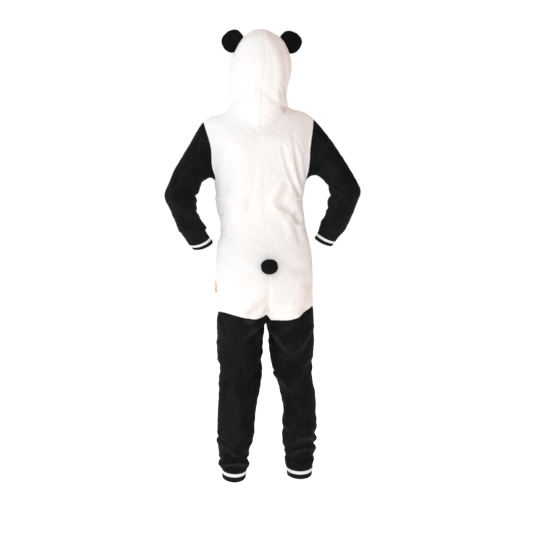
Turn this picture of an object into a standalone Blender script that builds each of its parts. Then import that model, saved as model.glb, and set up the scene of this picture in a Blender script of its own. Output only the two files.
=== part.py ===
"""A child's hooded panda onesie, held in the pose in which it is worn, with nobody inside.

Metres, +Z up, front towards -Y, wearer's left towards +X. The origin is the middle of the
shoulders, where the garment hangs from its wearer. Sizes in the tables are millimetres.

All the cloth is first one coarse surface of rings, smoothed by a Subdivision Surface. Folds are
pressed into it, and then it is cut along its seams into panels, each a wall of real thickness.
"""

import math
from collections import namedtuple

import bmesh
import bpy
from mathutils import Matrix, Vector

MM = 0.001

# Driving sizes, in millimetres.
FLEECE_THICK = 2.4
RIB_THICK = 2.0
SEAM_GAP = 0.34  # between the cut edges of two panels
REST_GAP = 0.4  # between a piece and the cloth that carries it
ZIP_HALF = 5.5  # from the zip's middle to the fleece edge
FIT_ROUNDS = 4  # how often the coarse points are moved until the smooth cloth passes through them
RING_HALF = 10  # steps round half of a body ring, from centre back to centre front
ARM_RING = 10  # points of a sleeve ring
SQUARENESS = 0.88  # of a body ring: 1 is an ellipse and less is boxier
CUTTER_DEEP = 16  # how far a cutter reaches in under the cloth

# One row for each ring of the body below the arms. shift is where its middle lies in x.
Ring = namedtuple("Ring", "z shift half back front")
BODY_RINGS = [
    Ring(-203, -4, 131, 88, -98),
    Ring(-255, -2, 122, 87, -100),
    Ring(-300, -5.5, 119.5, 80, -97),
    Ring(-345, -13, 119, 78, -95),
    Ring(-395, -15, 131, 91, -97),
    Ring(-445, -15.75, 134.75, 106, -99),
    Ring(-500, -16.2, 135.2, 111, -98),
    Ring(-548, -18.75, 134.25, 104, -94),
]
# The leg seams: the last ring of the white body and the first of the black legs. Each rise is
# what a point lies above the ring, on the left and on the right.
SEAM_RING = Ring(-590, -18.5, 134, 94, -88)
Rise = namedtuple("Rise", "left right")
SEAM_RISE = [
    Rise(-1, -1), Rise(6.5, 0.5), Rise(13, 7), Rise(19.5, 24), Rise(21, 34), Rise(16, 30),
    Rise(14, 24), Rise(12, 16), Rise(8, 8), Rise(4, 2), Rise(6, 6),
]  # fmt: skip
SEAM_PULLED_IN = {0: 26, 1: 3, 9: 3, 10: 20}
# The crotch seam between the legs, from back to front.
Crotch = namedtuple("Crotch", "y z")
CROTCH = [Crotch(36, -595), Crotch(0, -601), Crotch(-34, -594)]
CROTCH_X = -20

# One row for each level above the arms, from the chest to just under the shoulder. The edge
# columns give the armhole: its back edge, then its front edge.
Level = namedtuple(
    "Level", "shift z_back y_back x_edge y_edge z_edge z_front y_front x_fedge y_fedge z_fedge"
)
LEVELS = [
    Level(0, -162, 89, 133, 40, -163, -168, -98, 129, -48, -166),
    Level(1, -120, 88, 133, 43, -120, -134, -93, 129, -50, -124),
    Level(2.5, -84, 79, 143, 27, -71, -100, -78, 141, -32, -76),
]
NECK = {0: (0, 68, -59), 1: (50, 50, -40), 2: (82, 0, -8), 9: (52, -46, -46), 10: (0, -66, -76)}
SHOULDER = {3: (117, -2, -22), 4: (153.6, -2, -40.5)}
LEFT_SHOULDER_DROP = 6
RIGHT_SHOULDER_LIFT = {2: 4, 3: 7, 4: 3}  # for points of NECK and SHOULDER
RIGHT_EDGE_OUT = [4.5, 7, 7]  # for each of LEVELS, what the right armhole lies farther out

# One row for each level of the hood: the centre back, the side and the edge round the face.
HoodRow = namedtuple("HoodRow", "z_back y_back x_side y_side z_side x_edge y_edge z_edge shift")
HOOD_ROWS = [
    HoodRow(-16, 76, 77, 4, 20, 44, -84, -38, 0),
    HoodRow(28, 86, 79.5, 4, 48, 62, -92, 8, -1),
    HoodRow(75, 94, 85, 0, 86, 70, -96, 58, -4),
    HoodRow(122, 92, 81.5, -4, 124, 68, -95, 108, -8),
    HoodRow(162, 78, 69, -8, 160, 57, -92, 144, -9),
    HoodRow(188, 58, 45, -12, 190, 34, -90, 168, -8.5),
]
CROWN_SEAM = [(38, 201), (12, 207), (-22, 207), (-60, 197), (-90, 178)]  # y, z from back to front
CROWN_SHIFT = -7

# One row for each ring of a sleeve: its inner and outer points, its middle and its half depth.
Cuffed = namedtuple("Cuffed", "x_in z_in x_out z_out y deep")
LEFT_SLEEVE = [
    Cuffed(142.5, -201, 183, -94, 8, 50),
    Cuffed(152.5, -206.5, 206, -129, 15, 47),
    Cuffed(160, -218, 230, -169, 26, 45),
    Cuffed(168, -231, 251, -214, 38, 43),
    Cuffed(174, -251, 263, -247, 48, 43),
    Cuffed(174, -279, 251, -278, 42, 41),
    Cuffed(167, -305, 240, -303, 31, 39),
    Cuffed(155, -327, 228, -331, 20, 37),
    Cuffed(149, -344, 218, -350, 11, 34),
]
LEFT_CUFF = [Cuffed(146, -350, 206, -367, 8, 30), Cuffed(138, -362, 196, -382, 4, 28)]
LEFT_HEM = Cuffed(130, -374, 185, -395, 0, 27)
RIGHT_SLEEVE = [
    Cuffed(-155, -194, -197, -92, 8, 50),
    Cuffed(-168, -198, -222, -126, 15, 47),
    Cuffed(-180.5, -208, -245, -166, 26, 45),
    Cuffed(-189.5, -222, -267, -204, 38, 43),
    Cuffed(-193, -240, -279, -236, 49, 43),
    Cuffed(-190, -263, -271, -264, 44, 41),
    Cuffed(-186, -290, -262, -295, 33, 39),
    Cuffed(-176, -317, -251, -326, 20, 37),
    Cuffed(-170, -336, -242, -347, 11, 34),
]
RIGHT_CUFF = [Cuffed(-170, -342, -230, -361, 7, 30), Cuffed(-165, -356, -218, -376, 3, 28)]
RIGHT_HEM = Cuffed(-159, -368, -209, -390, -1, 27)

# One row for each ring of a leg: its height, its middle, its half width and half depth.
LegRing = namedtuple("LegRing", "z x y wide deep")
LEFT_LEG = [
    LegRing(-626, 51.3, 4, 66.3, 78),
    LegRing(-664, 53.3, 4, 64.5, 73),
    LegRing(-706, 53.5, 3, 63.5, 67),
    LegRing(-748, 51.3, 2, 60.9, 62),
    LegRing(-800, 55.8, 4, 57.4, 58.5),
    LegRing(-870, 64.8, 12, 52.3, 55),
    LegRing(-912, 66.7, 15, 52.2, 53),
    LegRing(-950, 69.8, 17, 47.8, 49),
    LegRing(-982, 72, 18, 42, 45),
    LegRing(-1006, 72.3, 19, 41.5, 43),
    LegRing(-1020, 71, 20, 38, 39),
]
LEFT_ANKLE = [LegRing(-1024, 71, 20, 36, 37)]
LEFT_LEG_HEM = LegRing(-1048, 71.7, 21, 32.5, 34)
RIGHT_LEG = [
    LegRing(-626, -91, 2, 66, 77),
    LegRing(-664, -92, 1, 64, 72),
    LegRing(-706, -93.8, -2, 60, 66),
    LegRing(-748, -97.5, -5, 54, 61),
    LegRing(-802, -110, -8, 49.5, 57.5),
    LegRing(-870, -117.5, -10, 47.5, 54),
    LegRing(-912, -118.2, -12, 49.7, 52),
    LegRing(-952, -115.8, -15, 46.7, 49),
    LegRing(-986, -118, -17, 44, 45),
    LegRing(-1012, -118, -18, 42, 43),
    LegRing(-1026, -117.5, -19, 39.5, 40),
]
RIGHT_ANKLE = [LegRing(-1030, -118.5, -19, 38.4, 38)]
RIGHT_LEG_HEM = LegRing(-1055, -119.6, -20, 36, 36)

# The largest folds: a trough (depth under 0) or ridge along a line seen from the back or front.
# facing is 1 on the back, -1 on the front and 0 all round; depth runs from its start to its end.
Fold = namedtuple("Fold", "facing x1 z1 x2 z2 depth1 depth2 width")
FOLDS = [
    # back: drag lines from the right side towards the blade, and the sag over the waist
    Fold(1, -62, -140, -112, -262, -3.4, -6.8, 15),
    Fold(1, -88, -130, -128, -246, -2.5, -6, 11),
    Fold(1, -78, -150, -112, -240, 2.5, 4.2, 14),
    Fold(1, -42, -276, -132, -318, -6, -5.1, 17),
    Fold(1, -60, -248, -118, -292, 4.2, 3.4, 18),
    Fold(1, -84, -335, -132, -356, 3.4, 2.5, 18),
    Fold(1, 12, -90, 22, -262, -2.5, -1.7, 14),
    Fold(1, -2, -84, 2, -190, -2.5, -0.8, 11),
    Fold(1, 2, -330, 26, -262, -1.7, -2.5, 17),
    # back: the seat seam draws in and the cloth creases towards it
    Fold(1, -18, -520, -20, -585, -2, -5, 14),
    Fold(1, -24, -548, 38, -582, -4.2, -3.4, 15),
    Fold(1, -34, -566, -84, -568, -2.5, -2.5, 11),
    Fold(1, -60, -520, -128, -486, 2.5, 2.5, 18),
    # front: drag lines from the arms, the waist and the crotch
    Fold(-1, 74, -150, 112, -250, -2.5, -5.1, 16),
    Fold(-1, -78, -146, -114, -256, -3.4, -5.1, 16),
    Fold(-1, 36, -300, 118, -334, -4.2, -5.1, 18),
    Fold(-1, -46, -302, -128, -330, -4.2, -5.1, 18),
    Fold(-1, 20, -548, 78, -584, -2.5, -4.2, 17),
    Fold(-1, -56, -548, -108, -584, -2.5, -4.2, 17),
    # hood: slack over the neck
    Fold(1, -38, 22, -74, 8, -3.4, -4.2, 15),
    Fold(1, 30, 14, 70, 10, -1.7, -2.5, 15),
    # left sleeve
    Fold(0, 152, -204, 206, -196, -4.2, -1.7, 10),
    Fold(0, 170, -234, 222, -228, -5.1, -1.7, 9),
    Fold(0, 178, -262, 226, -270, -5.1, -2.5, 9),
    Fold(0, 172, -292, 214, -304, -5.1, -1.7, 9),
    Fold(0, 161, -320, 196, -326, -4.2, -1.7, 9),
    # right sleeve
    Fold(0, -186, -214, -238, -218, -5.1, -2.5, 9),
    Fold(0, -194, -243, -244, -254, -5.1, -2.5, 9),
    Fold(0, -187, -272, -240, -280, -5.1, -2.5, 9),
    Fold(0, -180, -302, -224, -308, -4.2, -1.7, 9),
    # left leg
    Fold(1, 108, -618, 84, -680, -3.4, -1.7, 16),
    Fold(0, 112, -724, 74, -748, -5.1, -1.7, 16),
    Fold(1, 2, -640, 36, -668, -4.2, -1.7, 16),
    Fold(0, 6, -770, 34, -742, -3.4, -1.7, 16),
    Fold(0, 116, -952, 68, -972, -5.1, -2.5, 14),
    Fold(0, 24, -962, 60, -968, -5.1, -2.5, 14),
    Fold(0, 110, -990, 40, -992, -2.5, -3.4, 11),
    # right leg
    Fold(1, -34, -622, -90, -694, -1.7, -5.1, 17),
    Fold(1, -90, -694, -146, -668, -5.1, -2.5, 17),
    Fold(0, -58, -756, -92, -776, -4.2, -2.5, 16),
    Fold(0, -154, -742, -128, -762, -4.2, -1.7, 16),
    Fold(0, -74, -914, -100, -938, -4.2, -2.5, 14),
    Fold(0, -160, -948, -96, -964, -5.1, -3.4, 14),
    Fold(0, -84, -978, -128, -986, -3.4, -3.4, 11),
]

# Ears, tail and label.
EAR = {"middle": (79, -10, 175), "tall": 32, "wide": 30, "deep": 13, "turn": 33}
EAR_SHIFT = {1: (-10, 0, 1), -1: (-10, 0, 0)}
TAIL = {"middle": (-18, 117, -437.5), "wide": 22.8, "deep": 20, "tall": 20.8}
LABEL = {"top": -489, "tall": 31, "out": 9, "thick": 1.2, "forward": 66}
ROUND_STEPS = 18

# Zip.
TAPE = {"edge": 0.4, "under": 8.5, "thick": 0.9, "parted": 1.9, "under_parted": 3}
SLIDER = {"wide": 9.4, "tall": 14, "thick": 2.2, "below_neck": 13, "post": 2.4, "back": 1.6}
BRIDGE = {"wide": 2.6, "hole_long": 8, "hole_high": 3.0, "thick": 1.4}
PULL = {"wide": 7.5, "long": 26, "thick": 1.6, "window": 4.2, "window_long": 7.2, "bar": 0.8}

PANELS = [
    "back_left", "back_right", "front_left", "front_right", "hood_left", "hood_right",
    "sleeve_left", "sleeve_right", "cuff_left", "cuff_right",
    "leg_back_left", "leg_back_right", "leg_front_left", "leg_front_right",
    "ankle_cuff_left", "ankle_cuff_right",
]  # fmt: skip
SIDES = {1: "left", -1: "right"}
SEAM_CREASE = {("back", "hood"): 0.15, ("front", "hood"): 0.15, ("cuff", "sleeve"): 0.7,
               ("ankle", "leg"): 0.7, ("back", "sleeve"): 0.25, ("front", "sleeve"): 0.25}  # fmt: skip

# Material: colour, roughness, metallic.
FINISHES = {
    "white_fleece": ((0.93, 0.92, 0.90), 0.95, 0.0),
    "black_fleece": ((0.012, 0.012, 0.013), 0.9, 0.0),
    "black_rib": ((0.014, 0.014, 0.014), 0.85, 0.0),
    "zip_tape": ((0.88, 0.88, 0.87), 0.8, 0.0),
    "zip_metal": ((0.62, 0.62, 0.62), 0.35, 1.0),
    "label_orange": ((0.85, 0.36, 0.06), 0.7, 0.0),
}


def point(x, y, z):
    """A point given in millimetres, in metres."""
    return Vector((x, y, z)) * MM


class Cloth:
    """The coarse surface: named points, and faces that each belong to a panel."""

    def __init__(self):
        self.points = []
        self.index = {}
        self.faces = []
        self.panels = []
        self.corners = []

    def add(self, name, place):
        self.index[name] = len(self.points)
        self.points.append(place)

    def face(self, panel, *names):
        self.faces.append([self.index[n] for n in names])
        self.panels.append(PANELS.index(panel))

    def band(self, panel, upper, lower):
        """Faces between two rows of names."""
        for k in range(len(upper) - 1):
            self.face(panel, upper[k], upper[k + 1], lower[k + 1], lower[k])


def body_name(level, side, j):
    """Level 0 is under the arms, 1 to 4 go up to the neck and negative ones go down."""
    zipped = j == RING_HALF and level > ZIP_END
    shared = j in (0, RING_HALF) and not zipped
    return ("body", level, 0 if shared else side, j)


ZIP_END = -(len(BODY_RINGS) - 2)  # the ring where the zip stops and the front seam goes on


def ring_point(ring, side, j):
    """A point of a body ring, a rounded box shape between its back, sides and front."""
    angle = math.pi * j / RING_HALF
    across = math.copysign(abs(math.sin(angle)) ** SQUARENESS, side)
    along = math.copysign(abs(math.cos(angle)) ** SQUARENESS, math.cos(angle))
    depth = ring.back if along > 0 else -ring.front
    x = ring.shift + ring.half * across
    if j == RING_HALF:
        x = ring.shift
    return [x, depth * along, ring.z]


def add_body_rings(cloth):
    for row, ring in enumerate(BODY_RINGS):
        for side in SIDES:
            for j in range(RING_HALF + 1):
                name = body_name(-row, side, j)
                if name in cloth.index:
                    continue
                x, y, z = ring_point(ring, side, j)
                if name[2] and j == RING_HALF:
                    x += side * ZIP_HALF
                cloth.add(name, point(x, y, z))
    seam_level = -len(BODY_RINGS)
    for side in SIDES:
        for j in range(RING_HALF + 1):
            name = body_name(seam_level, side, j)
            if name in cloth.index:
                continue
            x, y, z = ring_point(SEAM_RING, side, j)
            y -= math.copysign(SEAM_PULLED_IN.get(j, 0), y)
            rise = SEAM_RISE[j].left if side > 0 else SEAM_RISE[j].right
            cloth.add(name, point(x, y, z + rise))
    for k, place in enumerate(CROTCH):
        cloth.add(("crotch", k), point(CROTCH_X, place.y, place.z))


def add_shoulders(cloth):
    """The rows above the arms: each spans from the centre to the edge of the armhole."""
    for row, level in enumerate(LEVELS, start=1):
        for side in SIDES:
            drop = LEFT_SHOULDER_DROP * row / (len(LEVELS) + 1) if side > 0 else 0
            for j in (0, 1, 2, 3, 4, 6, 7, 8, 9, 10):
                name = body_name(row, side, j)
                if name in cloth.index:
                    continue
                if j <= 4:
                    step = j / 4
                    z0, y0 = level.z_back, level.y_back
                    x1, y1, z1 = level.x_edge, level.y_edge, level.z_edge
                else:
                    step = (10 - j) / 4
                    z0, y0 = level.z_front, level.y_front
                    x1, y1, z1 = level.x_fedge, level.y_fedge, level.z_fedge
                x1 += RIGHT_EDGE_OUT[row - 1] if side < 0 else 0
                x = level.shift * step + side * x1 * step
                if name[2] and j == RING_HALF:
                    x += side * ZIP_HALF
                y = y1 + (y0 - y1) * (1 - step**2.4)
                cloth.add(name, point(x, y, z0 + (z1 - z0) * step - drop * step))
    top = len(LEVELS) + 1
    for side in SIDES:
        for j, (x, y, z) in {**NECK, **SHOULDER}.items():
            name = body_name(top, side, j)
            if name in cloth.index:
                continue
            if j == RING_HALF:
                x += ZIP_HALF
                cloth.corners.append(len(cloth.points))
            drop = LEFT_SHOULDER_DROP * min(1, max(0, (x - 60) / 100))
            z += -drop if side > 0 else RIGHT_SHOULDER_LIFT.get(j, 0)
            cloth.add(name, point(side * x, y, z))


def close_body(cloth):
    """Faces of the four white body panels."""
    top = len(LEVELS) + 1
    for side, word in SIDES.items():
        for level in range(-len(BODY_RINGS), 0):
            for panel, columns in (("back_", range(0, 6)), ("front_", range(5, 11))):
                cloth.band(
                    panel + word,
                    [body_name(level + 1, side, j) for j in columns],
                    [body_name(level, side, j) for j in columns],
                )
        for level in range(0, top):
            for panel, columns in (("back_", range(0, 5)), ("front_", range(6, 11))):
                cloth.band(
                    panel + word,
                    [shoulder_name(level + 1, side, j) for j in columns],
                    [shoulder_name(level, side, j) for j in columns],
                )


def shoulder_name(level, side, j):
    """As body_name, but the back and the front share the points of the shoulder seam."""
    if level == len(LEVELS) + 1 and j in (6, 7, 8):
        j = 10 - j
    return body_name(level, side, j)


def neck_names(side):
    """The neck seam of one side, from centre back to centre front."""
    top = len(LEVELS) + 1
    return [shoulder_name(top, side, j) for j in (0, 1, 2, 9, 10)]


def add_hood(cloth):
    rows = {side: [neck_names(side)] for side in SIDES}
    for row, h in enumerate(HOOD_ROWS):
        for side in SIDES:
            lift = (h.z_side - h.z_back) / 2
            places = [
                (0, h.y_back, h.z_back),
                (0.74 * h.x_side, h.y_side + 0.74 * (h.y_back - h.y_side), h.z_back + lift),
                (h.x_side, h.y_side, h.z_side),
                (
                    h.x_edge + 0.8 * (h.x_side - h.x_edge),
                    h.y_side + 0.55 * (h.y_edge - h.y_side),
                    h.z_side + 0.5 * (h.z_edge - h.z_side),
                ),
                (h.x_edge, h.y_edge, h.z_edge),
            ]
            names = [("hood", row, side if k else 0, k) for k in range(5)]
            for name, (x, y, z) in zip(names, places):
                if name not in cloth.index:
                    cloth.add(name, point(h.shift + side * x, y, z))
            rows[side].append(names)
    crown = [("crown", k) for k in range(5)]
    for name, (y, z) in zip(crown, CROWN_SEAM):
        cloth.add(name, point(CROWN_SHIFT, y, z))
    for side, word in SIDES.items():
        rows[side].append(crown)
        for lower, upper in zip(rows[side], rows[side][1:]):
            cloth.band("hood_" + word, upper, lower)


def tube_ring(name, cloth, middle, out, back, count, start):
    """A ring of points round middle. out and back are its half axes, as vectors."""
    names = []
    for k in range(count):
        angle = start + math.tau * k / count
        place = middle - out * math.cos(angle) + back * math.sin(angle)
        cloth.add((*name, k), place)
        names.append((*name, k))
    return names


def close_tube(cloth, panels, upper, lower):
    """Faces between two whole rings; panels names the panel of each step round."""
    count = len(upper)
    for k in range(count):
        n = (k + 1) % count
        cloth.face(panels[k], upper[k], upper[n], lower[n], lower[k])


def add_sleeve(cloth, side, rows, cuff, hem):
    word = SIDES[side]
    top = len(LEVELS) + 1
    ring = [body_name(0, side, 5), body_name(0, side, 4)]
    ring += [body_name(level, side, 4) for level in range(1, top + 1)]
    ring += [body_name(level, side, 6) for level in range(top - 1, -1, -1)]
    kinds = ["sleeve_"] * len(rows) + ["cuff_"] * (len(cuff) + 1)
    for row, (section, kind) in enumerate(zip([*rows, *cuff, hem], kinds)):
        inner = point(section.x_in, section.y, section.z_in)
        outer = point(section.x_out, section.y, section.z_out)
        middle = (inner + outer) / 2
        back = point(0, section.deep, 0)
        names = tube_ring(("arm", side, row), cloth, middle, outer - middle, back, ARM_RING, 0)
        close_tube(cloth, [kind + word] * ARM_RING, ring, names)
        ring = names


def add_leg(cloth, side, rows, cuff, hem):
    word = SIDES[side]
    ring = [("crotch", 1), ("crotch", 0)]
    ring += [body_name(-len(BODY_RINGS), side, j) for j in range(RING_HALF + 1)]
    ring += [("crotch", 2)]
    count = len(ring)
    half = count // 2
    kinds = ["leg_"] * len(rows) + ["ankle_cuff_"] * (len(cuff) + 1)
    for row, (section, kind) in enumerate(zip([*rows, *cuff, hem], kinds)):
        middle = point(section.x, section.y, section.z)
        out = point(side * section.wide, 0, 0)
        back = point(0, section.deep, 0)
        names = tube_ring(("leg", side, row), cloth, middle, out, back, count, 0)
        if kind == "leg_":
            panels = ["leg_back_" + word] * half + ["leg_front_" + word] * half
        else:
            panels = [kind + word] * count
        close_tube(cloth, panels, ring, names)
        ring = names


def evaluated(carrier):
    carrier.data.update()
    bpy.context.view_layer.update()
    return carrier.evaluated_get(bpy.context.evaluated_depsgraph_get())


def cloth_mesh(cloth, levels):
    """The coarse surface as a smooth mesh through its points. A material index is a panel."""
    mesh = bpy.data.meshes.new("cloth")
    mesh.from_pydata(cloth.points, [], cloth.faces)
    mesh.polygons.foreach_set("material_index", cloth.panels)
    made = bmesh.new()
    made.from_mesh(mesh)
    crease = made.edges.layers.float.new("crease_edge")
    for edge in made.edges:
        words = sorted({PANELS[f.material_index].split("_")[0] for f in edge.link_faces})
        edge[crease] = SEAM_CREASE.get(tuple(words), 0)
    made.verts.ensure_lookup_table()
    corner = made.verts.layers.float.new("crease_vert")
    for index in cloth.corners:
        made.verts[index][corner] = 1
    bmesh.ops.recalc_face_normals(made, faces=made.faces)
    back = max(made.faces, key=lambda f: f.calc_center_median().y)
    if back.normal.y < 0:
        bmesh.ops.reverse_faces(made, faces=made.faces)
    made.to_mesh(mesh)
    made.free()
    carrier = bpy.data.objects.new("cloth", mesh)
    bpy.context.scene.collection.objects.link(carrier)
    for panel in PANELS:
        mesh.materials.append(bpy.data.materials.get(panel) or bpy.data.materials.new(panel))
    smooth = carrier.modifiers.new("smooth", "SUBSURF")
    smooth.levels = smooth.render_levels = 1
    wanted = [v.co.copy() for v in mesh.vertices]
    for _ in range(FIT_ROUNDS):
        reached = bpy.data.meshes.new_from_object(evaluated(carrier))
        for vertex, goal, now in zip(mesh.vertices, wanted, reached.vertices):
            vertex.co += goal - now.co
        bpy.data.meshes.remove(reached)
    smooth.levels = smooth.render_levels = levels
    done = bpy.data.meshes.new_from_object(evaluated(carrier))
    bpy.data.objects.remove(carrier)
    return done


def eased(value):
    value = min(1.0, max(0.0, value))
    return value * value * (3 - 2 * value)


def fold_depth(place, normal):
    """How far, in millimetres, the folds move a point of the cloth along its normal."""
    total = 0.0
    x, z = place.x / MM, place.z / MM
    for fold in FOLDS:
        run = Vector((fold.x2 - fold.x1, fold.z2 - fold.z1))
        here = Vector((x - fold.x1, z - fold.z1))
        along = min(1.0, max(0.0, here.dot(run) / run.length_squared))
        away = (here - run * along).length / fold.width
        if away > 3:
            continue
        seen = eased(0.5 + 1.6 * normal.y * fold.facing) if fold.facing else 1.0
        deep = fold.depth1 + (fold.depth2 - fold.depth1) * along
        total += seen * deep * math.exp(-away * away)
    return total


def press_folds(mesh):
    normals = [v.normal.copy() for v in mesh.vertices]
    for vertex, normal in zip(mesh.vertices, normals):
        vertex.co += normal * fold_depth(vertex.co, normal) * MM
    mesh.update()


def panel_wall(mesh, panel, thick):
    """(points, faces) of one panel: its outer face, its inner face and its cut edges."""
    faces = [list(p.vertices) for p in mesh.polygons if p.material_index == PANELS.index(panel)]
    half_edges = {(f[i], f[(i + 1) % len(f)]) for f in faces for i in range(len(f))}
    rim = [(a, b) for a, b in half_edges if (b, a) not in half_edges]
    shift = {}
    for a, b in rim:
        run = mesh.vertices[b].co - mesh.vertices[a].co
        inward = (mesh.vertices[a].normal + mesh.vertices[b].normal).cross(run).normalized()
        for end in (a, b):
            shift.setdefault(end, []).append(inward)
    used = sorted({v for f in faces for v in f})
    row = {v: k for k, v in enumerate(used)}
    outer, inner = [], []
    for v in used:
        place = mesh.vertices[v].co.copy()
        pulls = shift.get(v, [])
        if pulls:
            mean = sum(pulls, Vector()) / len(pulls)
            place += mean / max(mean.length_squared, 0.35) * SEAM_GAP / 2 * MM
        outer.append(place)
        inner.append(place - mesh.vertices[v].normal * thick * MM)
    count = len(used)
    solid = [[row[v] for v in f] for f in faces]
    solid += [[row[v] + count for v in reversed(f)] for f in faces]
    for a, b in rim:  # both panels of a seam split these walls the same way, so they keep apart
        if a < b:
            solid += [[row[b], row[a], row[b] + count], [row[a], row[a] + count, row[b] + count]]
        else:
            solid += [[row[b], row[a], row[a] + count], [row[b], row[a] + count, row[b] + count]]
    return outer + inner, solid


def finish_material(slot):
    found = bpy.data.materials.get(slot)
    if found:
        return found
    colour, rough, metal = FINISHES[slot]
    made = bpy.data.materials.new(slot)
    made.use_nodes = True
    shader = made.node_tree.nodes["Principled BSDF"]
    shader.inputs["Base Color"].default_value = (*colour, 1)
    shader.inputs["Roughness"].default_value = rough
    shader.inputs["Metallic"].default_value = metal
    made.diffuse_color = (*colour, 1)
    return made


def add_node(name, slot, points, faces):
    """One named solid of the object."""
    mesh = bpy.data.meshes.new(name)
    mesh.from_pydata(points, [], faces)
    mesh.shade_smooth()
    mesh.set_sharp_from_angle(angle=math.radians(50))
    mesh.materials.append(finish_material(slot))
    made = bpy.data.objects.new(name, mesh)
    bpy.context.scene.collection.objects.link(made)
    return made


def add_panels(mesh):
    for panel in PANELS:
        rib = "cuff" in panel
        slot = "white_fleece" if panel.split("_")[0] in ("back", "front", "hood") else "black_fleece"
        points, faces = panel_wall(mesh, panel, RIB_THICK if rib else FLEECE_THICK)
        add_node(panel, "black_rib" if rib else slot, points, faces)


def cloth_cutter(mesh, panels, name):
    """A thick slab under some panels, raised by the resting gap, which shapes what sits on them."""
    wanted = [PANELS.index(p) for p in panels]
    faces = [list(p.vertices) for p in mesh.polygons if p.material_index in wanted]
    used = sorted({v for f in faces for v in f})
    row = {v: k for k, v in enumerate(used)}
    points = [mesh.vertices[v].co + mesh.vertices[v].normal * REST_GAP * MM for v in used]
    points += [mesh.vertices[v].co - mesh.vertices[v].normal * CUTTER_DEEP * MM for v in used]
    count = len(used)
    half_edges = {(f[i], f[(i + 1) % len(f)]) for f in faces for i in range(len(f))}
    solid = [[row[v] for v in f] for f in faces]
    solid += [[row[v] + count for v in reversed(f)] for f in faces]
    solid += [
        [row[b], row[a], row[a] + count, row[b] + count]
        for a, b in half_edges
        if (b, a) not in half_edges
    ]
    made = add_node(name, "white_fleece", points, solid)
    made.hide_render = True
    made.display_type = "WIRE"
    return made


def add_cushion(name, middle, radii, turn, cutter):
    """A stuffed round of black fleece, flatter than a ball, seated on the cloth."""
    bm = bmesh.new()
    bmesh.ops.create_uvsphere(bm, u_segments=ROUND_STEPS, v_segments=ROUND_STEPS // 2, radius=1)
    for v in bm.verts:
        flat = Vector((v.co.x, v.co.y)).length
        puff = 0.75 + 0.25 * math.sqrt(max(0.0, 1 - flat * flat))
        v.co.z *= puff
    shape = Matrix.Diagonal((radii[0], radii[1], radii[2], 1))
    place = Matrix.Translation(point(*middle)) @ turn @ shape
    bm.transform(place)
    mesh = bpy.data.meshes.new(name)
    bm.to_mesh(mesh)
    bm.free()
    mesh.shade_smooth()
    mesh.materials.append(finish_material("black_fleece"))
    made = bpy.data.objects.new(name, mesh)
    bpy.context.scene.collection.objects.link(made)
    seat = made.modifiers.new("seat", "BOOLEAN")
    seat.operation = "DIFFERENCE"
    seat.object = cutter
    return made


def add_ears_and_tail(mesh):
    hood = cloth_cutter(mesh, ["hood_left", "hood_right"], "hood_cutter")
    seat = cloth_cutter(mesh, ["back_left", "back_right"], "seat_cutter")
    radii = [EAR[k] * MM for k in ("tall", "wide", "deep")]
    for side, word in SIDES.items():
        x, y, z = EAR["middle"]
        dx, dy, dz = EAR_SHIFT[side]
        flat = Matrix.Rotation(math.radians(90), 4, "X")
        turn = Matrix.Rotation(math.radians(side * EAR["turn"]), 4, "Y") @ flat
        add_cushion("ear_" + word, (side * x + dx, y + dy, z + dz), radii, turn, hood)
    radii = [TAIL[k] * MM for k in ("wide", "tall", "deep")]
    turn = Matrix.Rotation(math.radians(-90), 4, "X")
    add_cushion("tail", TAIL["middle"], radii, turn, seat)


def edge_column(mesh, side):
    """The fleece edge along the zip, top to bottom: (place, normal, way into the panel)."""
    panel = PANELS.index("front_" + SIDES[side])
    faces = [list(p.vertices) for p in mesh.polygons if p.material_index == panel]
    count = {}
    for f in faces:
        for i in range(len(f)):
            edge = frozenset((f[i], f[(i + 1) % len(f)]))
            count[edge] = count.get(edge, 0) + 1
    whole = {}
    for p in mesh.polygons:
        for edge in p.edge_keys:
            whole[frozenset(edge)] = whole.get(frozenset(edge), 0) + 1
    rim = {v for e, n in count.items() if n == 1 and whole[e] == 1 for v in e}
    rows = []
    for v in sorted(rim, key=lambda k: -mesh.vertices[k].co.z):
        inside = [w for e in count if v in e for w in e if w != v and w not in rim]
        if not inside:
            continue
        place = mesh.vertices[v].co
        near = min(inside, key=lambda w: abs(mesh.vertices[w].co.z - place.z))
        way = (mesh.vertices[near].co - place).normalized()
        rows.append((place.copy(), mesh.vertices[v].normal.copy(), way))
    return rows


def between(a, b, share):
    return tuple(p.lerp(q, share) for p, q in zip(a, b))


def zip_rows(mesh):
    """Each row across the zip, top to bottom, as far down as its two fleece edges stay apart."""
    rows = list(zip(edge_column(mesh, 1), edge_column(mesh, -1)))
    rows = [row for row in rows if (row[0][0] - row[1][0]).length > ZIP_HALF * 0.9 * MM]
    upper = [between(rows[0][k], rows[2][k], 0.5) for k in (0, 1)]
    return [rows[0], tuple(upper), *rows[2:]]


def tape_front(row, side, parted, under):
    """The front of a tape across one row: at the teeth and at the edge under the fleece."""
    place, normal, way = row[0] if side > 0 else row[1]
    middle = (row[0][0] + row[1][0]) / 2
    upright = (row[0][1] + row[1][1]).normalized()
    below = (FLEECE_THICK + REST_GAP) * MM
    teeth = middle + (place - middle).normalized() * parted * MM - upright * below
    return teeth, place + way * under * MM - normal * below


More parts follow.
